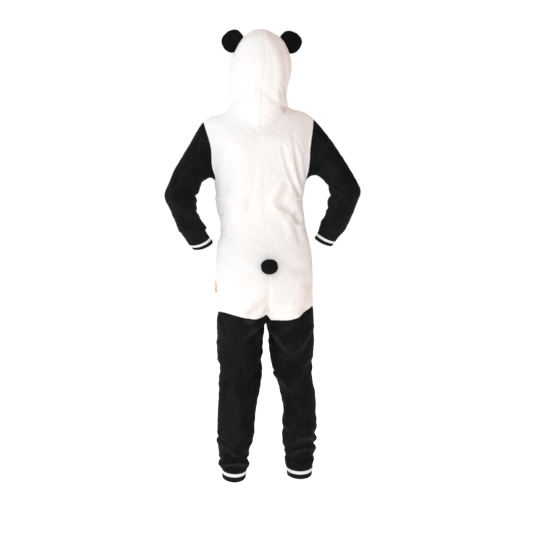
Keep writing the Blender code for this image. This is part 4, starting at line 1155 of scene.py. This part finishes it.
def tubeRows(surface, name):
    # the points of a cuff in rows, from its seam down to its hem, each row in order round it
    quads = surface.quadsOf(name)
    rim = rimOf(quads, len(surface.places))
    others = np.unique(surface.quads[surface.panel != panels.index(name)])
    seam = np.isin(rim[:, 0], others) & np.isin(rim[:, 1], others)
    follow = dict(rim[seam].tolist())
    beside = {}
    for quad in quads.tolist():
        for k in range(4):
            beside.setdefault(quad[k], set()).add(quad[k - 1])
            beside.setdefault(quad[k - 1], set()).add(quad[k])
    first = next(iter(follow))
    row = [first]
    while follow[row[-1]] != first:
        row.append(follow[row[-1]])
    rows, seen = [row], set(row)
    while True:
        row = [next((n for n in beside[v] if n not in seen), -1) for v in rows[-1]]
        if -1 in row:
            return np.array(rows)
        rows.append(row)
        seen.update(row)


def evenGrid(rows, count, columns):
    # a tube of points resampled to even steps round it and along it
    closed = np.concatenate([rows, rows[:, :1]], axis=1)
    middle = closed[len(rows) // 2]
    around = np.concatenate([[0], np.cumsum(np.linalg.norm(np.diff(middle, axis=0), axis=1))])
    steps = np.linspace(0, around[-1], columns, endpoint=False)
    ring = [[np.interp(steps, around, row[:, k]) for k in range(3)] for row in closed]
    ring = np.stack(ring).transpose(0, 2, 1)
    down = np.cumsum(np.linalg.norm(np.diff(ring, axis=0, prepend=ring[:1]), axis=2), axis=0)
    grid = np.empty((count, columns, 3))
    for column in range(columns):
        steps = np.linspace(0, down[-1, column], count)
        for k in range(3):
            grid[:, column, k] = np.interp(steps, down[:, column], ring[:, column, k])
    return grid


def ringTorus(rings):
    # closed surface through rings of equal size, the last joined to the first
    count = len(rings[0])
    k = np.arange(count)
    n = (k + 1) % count
    faces = []
    for row in range(len(rings)):
        a, b = row * count, (row + 1) % len(rings) * count
        faces += np.stack([a + k, b + k, b + n, a + n], axis=1).tolist()
    return np.concatenate(rings), faces


def facesOut(piece):
    shape = bmesh.new()
    shape.from_mesh(piece.data)
    bmesh.ops.recalc_face_normals(shape, faces=shape.faces)
    if shape.calc_volume(signed=True) < 0:
        bmesh.ops.reverse_faces(shape, faces=shape.faces)
    shape.to_mesh(piece.data)
    shape.free()


def hangCuff(grid, droopBy, t):
    # lets the hem hang lower behind
    behind = grid[:, :, 1] - grid[:, :, 1].min(axis=1, keepdims=True)
    behind /= behind.max(axis=1, keepdims=True)
    sag = droopBy * mm * behind ** ribWork["sagBehind"] * t ** ribWork["sagDown"]
    return grid + unit(grid[-1] - grid[0]) * sag[:, :, None]


def makeCuffs(fine, look):
    made = {}
    for name in ribPanels:
        kind = name.split("_")[0]
        rib = ribKinds[kind]
        grid = evenGrid(fine.flat[tubeRows(fine, name)], rib.rows, rib.ribs * ribWork["columnsPerRib"])
        t = np.linspace(0, 1, rib.rows)[:, None]
        grid = hangCuff(grid, droop[name], t)
        around = np.roll(grid, -1, axis=1) - np.roll(grid, 1, axis=1)
        down = unit(np.gradient(grid, axis=0))
        out = unit(np.cross(around, down))
        if ((grid - grid.mean(axis=1, keepdims=True)) * out).sum() < 0:
            out = -out
        long = np.linalg.norm(np.diff(grid, axis=0), axis=2).sum(axis=0) / mm
        fromSeam, fromHem = t * long, (1 - t) * long
        phase = np.arange(grid.shape[1]) / ribWork["columnsPerRib"]
        ridge = (0.5 + 0.5 * np.cos(math.tau * phase)) ** ribWork["fullness"]
        rise = ribWork["rise"] * ridge[None, :] * smoothStep(fromSeam / ribWork["riseFromSeam"])
        rise *= smoothStep(ribWork["riseAtHem"] + fromHem / ribWork["riseFromHem"])
        slack = waves(grid.reshape(-1, 3), ribWork["slackLong"], seeds["cuffs"]).reshape(grid.shape[:2])
        tuck = rib.tucked * bell(fromSeam, ribWork["tuckLong"])
        height = rise + ribWork["slack"] * slack - ribWork["sunk"] - tuck
        outer = grid + out * (height * mm)[:, :, None]
        inner = grid + out * ((height - rise - ribWork["thick"]) * mm)[:, :, None]
        rings, marks = list(outer), list(fromHem)
        for a, b, way, atSeam in ((outer[-1], inner[-1], down[-1], 0), (inner[0], outer[0], -down[0], 1)):
            if atSeam:
                rings += list(inner[::-1])
                marks += list(fromHem[::-1])
            reach = np.linalg.norm(a - b, axis=1, keepdims=True) / 2
            for step in range(1, ribWork["roundSteps"]):
                turn = math.pi * step / ribWork["roundSteps"]
                rings.append((a + b) / 2 + (a - b) / 2 * math.cos(turn) + way * reach * math.sin(turn))
                marks.append(atSeam * long)
        points, faces = ringTorus(rings)
        marks = {"along": np.concatenate(marks), "rib": np.tile(ridge, len(rings))}
        made[name] = pieceFrom(name + "_knit", points, faces, look[kind], marks)
        facesOut(made[name])
    return made


cushionWork = {
    "segments": 96,
    "boxy": 2.3,  # 2 is a round outline, more is squarer
    "edge": 0.75,  # share of the depth that a cushion has at its rim
    "rest": 0.3,  # mm between a cushion and the cloth under it
    "groove": 0.9,  # depth of the seam round the rim
    "grooveWide": 1.3,
    "markWide": 1.2,
    "pucker": 0.35,
    "puckerWide": 6,
    "puckerLong": 6,
    "lump": 0.55,
    "lumpLong": 26,
}
Cushion = namedtuple("Cushion", "name x y z along out deep turnX turnY cloth")
cushions = [
    Cushion("ear_left", 69.5, -10, 175.5, 32.5, 30, 13, 90, 33, "hood"),
    Cushion("ear_right", -89.5, -10, 174.5, 32.5, 30, 13, 90, -33, "hood"),
    Cushion("tail", -18, 117, -437.5, 22.8, 20.8, 20, -90, 0, "back"),
]


def unitBall(steps):
    shape = bmesh.new()
    bmesh.ops.create_uvsphere(shape, u_segments=steps, v_segments=steps // 2, radius=1)
    mesh = bpy.data.meshes.new("ball")
    shape.to_mesh(mesh)
    shape.free()
    ball, faces = readArray(mesh.vertices, "co", 3), [list(p.vertices) for p in mesh.polygons]
    bpy.data.meshes.remove(mesh)
    return ball, faces


def makeCushions(fine, looks):
    made = {}
    power, edge = cushionWork["boxy"], cushionWork["edge"]
    ball, faces = unitBall(cushionWork["segments"])
    flat = np.hypot(ball[:, 0], ball[:, 1])
    share = np.where(flat[:, None] > 1e-6, ball[:, :2] / np.maximum(flat, 1e-6)[:, None], (1, 0))
    square = (np.abs(share[:, 0]) ** power + np.abs(share[:, 1]) ** power) ** (-1 / power)
    puff = edge + (1 - edge) * np.sqrt(np.clip(1 - flat**2, 0, 1))
    for c in cushions:
        place = [ball[:, 0] * square * c.along, ball[:, 1] * square * c.out, ball[:, 2] * puff * c.deep]
        place = np.stack(place, axis=1)
        rim = bell(place[:, 2], cushionWork["grooveWide"])
        beside = bell(place[:, 2], cushionWork["puckerWide"]) * (1 - rim)
        pucker = waves(place * (1, 1, 0.15) * mm, cushionWork["puckerLong"], seeds["cushionSeam"])
        bump = -cushionWork["groove"] * rim + cushionWork["pucker"] * beside * pucker
        bump += cushionWork["lump"] * waves(place * mm, cushionWork["lumpLong"], seeds["lumps"])
        place = (place + unit(place) * bump[:, None]) * mm
        turn = Matrix.Rotation(math.radians(c.turnY), 3, "Y") @ Matrix.Rotation(math.radians(c.turnX), 3, "X")
        place = place @ np.array(turn).T + np.array((c.x, c.y, c.z)) * mm
        tree = treeOf(fine, fine.quadsOf(c.cloth + "_left", c.cloth + "_right"))
        for k, point in enumerate(place):
            found, normal, _, _ = tree.find_nearest(Vector(point))
            if (Vector(point) - found).dot(normal) < cushionWork["rest"] * mm:
                place[k] = found + normal * cushionWork["rest"] * mm
        look = looks["ear"] if c.cloth == "hood" else looks["black"]
        seam = bell(ball[:, 2] * c.deep, cushionWork["markWide"])
        made[c.name] = pieceFrom(c.name + "_plush", place, faces, look, {"seam": seam})
    return made


def lineOf(name, points, upright):
    mesh = bpy.data.meshes.new(name)
    mesh.from_pydata([tuple(p) for p in points], [(k, k + 1) for k in range(len(points) - 1)], [])
    kept = mesh.attributes.new("upright", "FLOAT_VECTOR", "POINT")
    kept.data.foreach_set("vector", np.array(upright, np.float32).ravel())
    return linked(name, mesh)


def repeatTree():
    # sets a piece along a line, upright on it, by turns to its left and its right
    tree = bpy.data.node_groups.new("repeatAlong", "GeometryNodeTree")
    sockets = {"Geometry": "Geometry", "Piece": "Object", "Spacing": "Float", "Sideways": "Float",
               "Lift": "Float", "Unevenness": "Float", "Seed": "Int", "Material": "Material"}
    for name, kind in sockets.items():
        tree.interface.new_socket(name, in_out="INPUT", socket_type="NodeSocket" + kind)
    tree.interface.new_socket("Geometry", in_out="OUTPUT", socket_type="NodeSocketGeometry")

    def add(kind, inputs, result, **settings):
        return addNode(tree, kind, inputs, **settings).outputs[result]

    given = addNode(tree, "NodeGroupInput").outputs
    curve = add("GeometryNodeMeshToCurve", {"Mesh": given["Geometry"]}, "Curve")
    spread = addNode(tree, "GeometryNodeCurveToPoints", {"Curve": curve, "Length": given["Spacing"]},
                     mode="LENGTH").outputs
    upright = add("GeometryNodeInputNamedAttribute", {"Name": "upright"}, "Attribute",
                  data_type="FLOAT_VECTOR")
    along = add("FunctionNodeAlignRotationToVector", {"Vector": spread["Tangent"]}, "Rotation", axis="Y")
    turn = add("FunctionNodeAlignRotationToVector", {"Rotation": along, "Vector": upright}, "Rotation",
               axis="Z", pivot_axis="Y")
    piece = add("GeometryNodeObjectInfo", {"Object": given["Piece"]}, "Geometry")
    placed = add("GeometryNodeInstanceOnPoints",
                 {"Points": spread["Points"], "Instance": piece, "Rotation": turn}, "Instances")
    parity = maths(tree, "FLOORED_MODULO", add("GeometryNodeInputIndex", {}, "Index"), 2)
    flank = maths(tree, "MULTIPLY_ADD", parity, 2, -1)
    least, most = maths(tree, "MULTIPLY", given["Unevenness"], -1), given["Unevenness"]
    chance = addNode(tree, "FunctionNodeRandomValue", {"Min": least, "Max": most, "Seed": given["Seed"]})
    uneven = next(s for s in chance.outputs if s.type == "VALUE" and s.enabled)
    across = maths(tree, "ADD", maths(tree, "MULTIPLY", flank, given["Sideways"]), uneven)
    offset = add("ShaderNodeCombineXYZ", {"X": across, "Z": given["Lift"]}, "Vector")
    moved = add("GeometryNodeTranslateInstances", {"Instances": placed, "Translation": offset}, "Instances")
    real = add("GeometryNodeRealizeInstances", {"Geometry": moved}, "Geometry")
    done = add("GeometryNodeSetMaterial", {"Geometry": real, "Material": given["Material"]}, "Geometry")
    addNode(tree, "NodeGroupOutput", {"Geometry": done})
    return tree


def repeatAlong(tree, name, line, piece, material, spacing, sideways=0.0, lift=0.0, unevenness=0.0, seed=1):
    work = line.modifiers.new("repeat", "NODES")
    work.node_group = tree
    values = {"Piece": piece, "Material": material, "Spacing": spacing * mm, "Sideways": sideways * mm,
              "Lift": lift * mm, "Unevenness": unevenness * mm, "Seed": seed}
    for item in tree.interface.items_tree:
        if item.in_out == "INPUT" and item.name in values:
            work[item.identifier] = values[item.name]
    mesh = bpy.data.meshes.new_from_object(evaluated(line))
    mesh.name = name
    bpy.data.objects.remove(line)
    shadeSmooth(mesh, 50)
    return linked(name, mesh)


def shapeObject(name, shape):
    mesh = bpy.data.meshes.new(name)
    shape.to_mesh(mesh)
    shape.free()
    return linked(name, mesh)


zipWork = {
    "under": 8.5,  # mm the tape goes under the fleece
    "thick": 0.8,
    "sink": 2.8,  # how far the tape lies under the fleece's face
    "closed": 3,  # mm apart, where the two edges meet and the zip ends
    "tapeFrom": 0.3,  # mm from the middle to a tape
    "underFrom": 0.3,  # share of the way under, of the first hidden row of a tape
    "pitch": 1.25,  # half the distance between two teeth of one side
    "toothWide": 3.0,
    "toothLong": 1.25,
    "toothHigh": 1.5,
    "toothRound": 0.18,
    "toothAside": 0.75,
    "toothLift": 0.5,
    "stitchFrom": 6.0,  # topstitch, from the fleece edge
    "stitchPitch": 3.1,
    "stitchLong": 2.5,
    "stitchThick": 0.5,
    "stitchUneven": 0.12,
}
stitchProfile = ((-1, 0.35), (-0.72, 0.85), (0, 1), (0.72, 0.85), (1, 0.35))  # share of length, of thickness


def stitchShape(long, thick):
    # one sunk stitch: a short thread bowed up in its middle
    shape = bmesh.new()
    rings = []
    for share, size in stitchProfile:
        high = thick * (0.15 - 0.5 * share * share)
        ring = []
        for k in range(6):
            turn = math.tau * k / 6
            x, z = thick / 2 * size * math.cos(turn), high + thick / 2 * size * math.sin(turn)
            ring.append(shape.verts.new(millimetres(x, long / 2 * share, z)))
        rings.append(ring)
    for a, b in zip(rings, rings[1:]):
        for k in range(6):
            n = (k + 1) % 6
            shape.faces.new((a[k], a[n], b[n], b[k]))
    shape.faces.new(rings[0][::-1])
    shape.faces.new(rings[-1])
    bmesh.ops.recalc_face_normals(shape, faces=shape.faces)
    return shapeObject("stitchPiece", shape)


def zipEdges(fine):
    # the fleece edge on each side of the zip, top to bottom: point numbers, matched in pairs
    free = rimOf(fine.quads, len(fine.places))
    edges = {}
    for side, word in sides.items():
        front = np.unique(fine.quadsOf("front_" + word))
        chain = chainOf(free[np.isin(free, front).all(axis=1)])
        if fine.flat[chain[0], 2] < fine.flat[chain[-1], 2]:
            chain.reverse()
        edges[side] = np.array(chain)
    return edges


def edgeFrame(fine, chain, side):
    # place, outward normal and way into the cloth for each point of a zip edge
    place, normal = fine.places[chain], fine.normals[chain]
    way = unit(np.cross(np.gradient(place, axis=0), normal))
    return place, normal, way * np.sign(way[:, :1] * side)


def slabFaces(rows, columns):
    # faces of a thin slab: its front points in rows, then its back points
    count = rows * columns
    faces = []
    for r in range(rows - 1):
        for c in range(columns - 1):
            a = r * columns + c
            quad = [a, a + 1, a + columns + 1, a + columns]
            faces += [quad, [count + v for v in reversed(quad)]]
    rim = [r * columns for r in range(rows)] + [count - columns + c for c in range(1, columns)]
    rim += [r * columns + columns - 1 for r in range(rows - 2, -1, -1)]
    rim += [c for c in range(columns - 2, 0, -1)]
    for a, b in zip(rim, rim[1:] + rim[:1]):
        faces.append([a, b, count + b, count + a])
    return faces


def makeZip(fine, looks, tree):
    frames = {side: edgeFrame(fine, chain, side) for side, chain in zipEdges(fine).items()}
    middle = (frames[1][0] + frames[-1][0]) / 2
    upright = unit(frames[1][1] + frames[-1][1])
    apart = np.linalg.norm(frames[1][0] - frames[-1][0], axis=1)
    last = int(np.nonzero(apart > zipWork["closed"] * mm)[0][-1]) + 1
    sink = zipWork["sink"] * mm
    made = {}
    for side, word in sides.items():
        place, normal, way = (part[:last] for part in frames[side])
        teeth = middle[:last] - upright[:last] * sink + way * zipWork["tapeFrom"] * mm
        edge = place - normal * sink
        shares = np.linspace(0, 1, 5)[:, None, None]
        front = teeth * (1 - shares) + edge * shares
        shares = np.linspace(zipWork["underFrom"], 1, 3)[:, None, None]
        hidden = edge + way * zipWork["under"] * mm * shares
        front = np.concatenate([front, hidden]).transpose(1, 0, 2)
        back = front - upright[:last, None] * zipWork["thick"] * mm
        points = np.concatenate([front.reshape(-1, 3), back.reshape(-1, 3)])
        name = "zip_tape_" + word
        made[name] = pieceFrom(name + "_weave", points, slabFaces(*front.shape[:2]), looks["tape"], sharp=40)
        facesOut(made[name])
    line = lineOf("zipLine", middle[2:last - 1] - upright[2:last - 1] * sink, upright[2:last - 1])
    tooth = bmesh.new()
    bmesh.ops.create_cube(tooth, size=1)
    wide, long, high = (zipWork[k] for k in ("toothWide", "toothLong", "toothHigh"))
    bmesh.ops.bevel(tooth, geom=tooth.edges, offset=zipWork["toothRound"], segments=1, affect="EDGES")
    tooth.transform(Matrix.Diagonal((wide * mm, long * mm, high * mm, 1)))
    tooth = shapeObject("toothPiece", tooth)
    made["teeth"] = repeatAlong(tree, "zipTeeth", line, tooth, looks["teeth"], zipWork["pitch"],
                                sideways=zipWork["toothAside"], lift=zipWork["toothLift"])
    bpy.data.objects.remove(tooth)
    return made, frames, last


def makeStitches(fine, frames, last, looks, tree):
    stitch = stitchShape(zipWork["stitchLong"], zipWork["stitchThick"])
    cloth = treeOf(fine, fine.quadsOf(*whitePanels))
    rows = {}
    for side, word in sides.items():
        place, _, way = frames[side]
        rows["zipStitches_" + word] = (place + way * zipWork["stitchFrom"] * mm)[2:last]
    free = rimOf(fine.quads, len(fine.places))
    chain = chainOf(free[np.isin(free, faceEdge(fine)).all(axis=1)])
    place = fine.places[chain]
    way = unit(np.cross(fine.normals[chain], np.gradient(place, axis=0)))
    rows["faceStitches"] = (place + way * sewing["hemStitch"] * mm)[6:-6]
    made = {}
    for name, row in rows.items():
        found = [cloth.find_nearest(Vector(point))[:2] for point in row]
        line = lineOf("stitchLine", *zip(*found))
        made[name] = repeatAlong(tree, name, line, stitch, looks["whiteThread"], zipWork["stitchPitch"],
                                 unevenness=zipWork["stitchUneven"], seed=seeds[name.split("_")[0]])
    bpy.data.objects.remove(stitch)
    return made


labelWork = {
    "top": -489,
    "tall": 31,
    "out": 9,
    "inside": 1.5,  # mm held in the seam
    "forward": 66,  # degrees that it is turned to the front
    "bend": 9,  # degrees that it curls, in a wave down it and out along it
    "bendDown": 2.2,
    "bendOut": 0.12,
    "seamBeyond": 80,  # x and z that part the side seam from the armhole's edge
    "seamBelow": -300,
    "ply": 0.35,
    "loop": 0.55,
    "rows": 12,
}


def labelOutline():
    # the ribbon's section: out to its fold and back again, in two plies
    ply, loop = labelWork["ply"], labelWork["loop"]
    straight = labelWork["out"] - loop
    middle = [(-labelWork["inside"], loop)] + [(straight * k / 6, loop) for k in range(7)]
    middle += [(straight + loop * math.sin(a), loop * math.cos(a)) for a in np.linspace(0, math.pi, 9)[1:-1]]
    middle += [(straight * k / 6, -loop) for k in range(6, -1, -1)] + [(-labelWork["inside"], -loop)]
    middle = np.array(middle)
    run = np.gradient(middle, axis=0)
    side = np.stack([-run[:, 1], run[:, 0]], axis=1) / np.linalg.norm(run, axis=1, keepdims=True)
    return np.concatenate([middle + side * ply / 2, (middle - side * ply / 2)[::-1]])


def makeLabel(fine, look):
    seam = np.intersect1d(fine.quadsOf("back_left"), fine.quadsOf("front_left"))
    x, z = fine.flat[seam, 0], fine.flat[seam, 2]
    seam = seam[(x > labelWork["seamBeyond"] * mm) & (z < labelWork["seamBelow"] * mm)]
    seam = seam[np.argsort(fine.flat[seam, 2])]
    rows = labelWork["rows"]
    levels = (labelWork["top"] - labelWork["tall"] * np.linspace(0, 1, rows)) * mm
    root = [np.interp(levels, fine.flat[seam, 2], fine.places[seam, k]) for k in range(3)]
    outline = labelOutline()
    points = []
    for row, place in enumerate(np.stack(root, axis=1)):
        share = row / (rows - 1)
        for out, aside in outline:
            curl = math.sin(labelWork["bendDown"] * share + labelWork["bendOut"] * out)
            turn = math.radians(labelWork["forward"] + labelWork["bend"] * curl)
            way = np.array((math.cos(turn), -math.sin(turn), 0))
            across = np.array((math.sin(turn), math.cos(turn), 0))
            points.append(place + (way * out + across * aside) * mm)
    count = len(outline)
    faces = []
    for a in range(0, (rows - 1) * count, count):
        b = a + count
        faces += [[a + k, a + (k + 1) % count, b + (k + 1) % count, b + k] for k in range(count)]
    lastRow = (rows - 1) * count
    for k in range(count // 2 - 1):
        j = count - 1 - k
        faces += [[k, k + 1, j - 1, j], [lastRow + j, lastRow + j - 1, lastRow + k + 1, lastRow + k]]
    label = pieceFrom("side_label_ribbon", points, faces, look, sharp=50)
    facesOut(label)
    return label


# Width and length in millimetres of the rectangle round what shows of each piece, laid flat.
Cut = namedtuple("Cut", "wide long")
cuts = {
    "back": Cut(215, 600),
    "front": Cut(205, 600),
    "hood": Cut(240, 300),
    "sleeve": Cut(350, 360),
    "cuff": Cut(185, 46),
    "leg": Cut(250, 480),
    "ankle": Cut(226, 30),
}


def clothArea(surface, name):
    a, b, c, d = (surface.flat[surface.quadsOf(name)[:, k]] for k in range(4))
    return float(np.linalg.norm(np.cross(c - a, d - b), axis=1).sum() / 2)


def declareCloth(surface, name):
    size = cuts[name.split("_")[0]]
    whole = size.wide * size.long * mm * mm
    area = min(clothArea(surface, name), whole)
    print(name, "covers", round(area, 4), "m2 of", round(whole, 4))


stageLook = {
    "cameraAt": (0.344, 3.483, -0.11),
    "lookAt": (-0.022, 0.002, -0.448),
    "lens": 84.8,
    "sensor": 36,
    "floor": -1.125,
    "floorHalf": 12,
    "floorGlow": (0.47, 0.52, 0.54),  # lifts the floor to the white of the backdrop
    "backdrop": (1.0, 1.0, 1.0),  # what the camera sees behind
    "sky": (0.905, 0.93, 0.95),  # the even light of the room
    "shade": (0.36, 0.11, 0.0),  # its darker, warmer side
    "shadeFrom": (-0.766, -0.643, 0.04),
    "shadeEdge": (-0.08, 0.34),
    "lampAim": (0, 0, -0.45),
}
Lamp = namedtuple("Lamp", "name place size power colour")
lamps = [
    Lamp("keyLamp", (2.1, 2.8, 0.7), 1.8, 13, (0.97, 0.99, 1.0)),
    Lamp("frontLamp", (0.2, -3.2, 1.0), 2.2, 26, (0.78, 0.92, 1.0)),
]


def placeAt(name, data, place, aim):
    made = linked(name, data)
    made.location = place
    made.rotation_euler = (Vector(aim) - Vector(place)).to_track_quat("-Z", "Y").to_euler()
    return made


def setStage():
    scene = bpy.context.scene
    scene.view_settings.view_transform = "Standard"
    camera = bpy.data.cameras.new("camera")
    camera.lens, camera.sensor_width = stageLook["lens"], stageLook["sensor"]
    scene.camera = placeAt("camera", camera, stageLook["cameraAt"], stageLook["lookAt"])
    wide, z = stageLook["floorHalf"], stageLook["floor"]
    paper, shader = newMaterial("floorPaper", (0.95, 0.95, 0.95), 0.9, specular=0.05)
    shader.inputs["Emission Color"].default_value = (*stageLook["floorGlow"], 1)
    shader.inputs["Emission Strength"].default_value = 1
    floorMesh = bpy.data.meshes.new("floor")
    corners = [(-wide, -wide, z), (wide, -wide, z), (wide, wide, z), (-wide, wide, z)]
    floorMesh.from_pydata(corners, [], [(0, 1, 2, 3)])
    floorMesh.materials.append(paper)
    floor = linked("floor", floorMesh)
    scene.world = softRoom()
    for lamp in lamps:
        light = bpy.data.lights.new(lamp.name, "AREA")
        light.shape, light.size, light.energy, light.color = "DISK", lamp.size, lamp.power, lamp.colour
        placeAt(lamp.name, light, lamp.place, stageLook["lampAim"])


def softRoom():
    # a bright even room, a little darker and warmer on one side
    world = bpy.data.worlds.new("softRoom")
    world.use_nodes = True
    where = addNode(world, "ShaderNodeTexCoord").outputs["Generated"]
    facing = addNode(world, "ShaderNodeVectorMath", {
        0: where, 1: Vector(stageLook["shadeFrom"]).normalized()}, operation="DOT_PRODUCT").outputs["Value"]
    share = rangeOf(world, facing, *stageLook["shadeEdge"], kind="SMOOTHSTEP")
    nodes, links = world.node_tree.nodes, world.node_tree.links
    room = nodes["Background"]
    links.new(mixColours(world, share, stageLook["sky"], stageLook["shade"]), room.inputs["Color"])
    backdrop = addNode(world, "ShaderNodeBackground", {"Color": (*stageLook["backdrop"], 1)})
    seen = addNode(world, "ShaderNodeLightPath").outputs["Is Camera Ray"]
    both = addNode(world, "ShaderNodeMixShader", {0: seen, 1: room.outputs[0], 2: backdrop.outputs[0]})
    links.new(both.outputs[0], nodes["World Output"].inputs["Surface"])
    return world


def main():
    carrier = layCloth()
    fine, lining = Surface(carrier, cut["fineLevel"]), Surface(carrier, cut["liningLevel"])
    bpy.data.objects.remove(carrier)
    skin = treeOf(fine, fine.quads)
    for surface in (fine, lining):
        notchSeam(surface, skin)
        liftInsteps(surface)
    print("cloth laid:", len(fine.quads), "faces outside,", len(lining.quads), "inside")
    for surface in (fine, lining):
        pressFolds(surface)
    print("folds pressed:", len(folds))
    looks = makeLooks()
    cloth = makePanels(fine, lining, looks["white"], looks["black"])
    cuffs = makeCuffs(fine, looks)
    for name, piece in {**cloth, **cuffs}.items():
        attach(piece, "garment")
        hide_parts(name)
        declareCloth(fine, name)
    print("panels and cuffs sewn:", len(cloth) + len(cuffs))
    for name, piece in makeCushions(fine, looks).items():
        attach(piece, "garment")
        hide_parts(name)
    print("ears and tail stuffed")
    tree = repeatTree()
    zipPieces, frames, last = makeZip(fine, looks, tree)
    for name, piece in zipPieces.items():
        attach(piece, "garment")
        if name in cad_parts:
            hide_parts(name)
    for piece in makeStitches(fine, frames, last, looks, tree).values():
        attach(piece, "garment")
    print("zip and stitches made")
    label = makeLabel(fine, looks["label"])
    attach(label, "garment")
    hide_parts("side_label")
    for name in ("zip_slider", "zip_pull"):
        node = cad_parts[name]
        node.data.materials.clear()
        node.data.materials.append(looks["metal"])
    print("label and slider finished")
    setStage()
    print("stage set")


main()
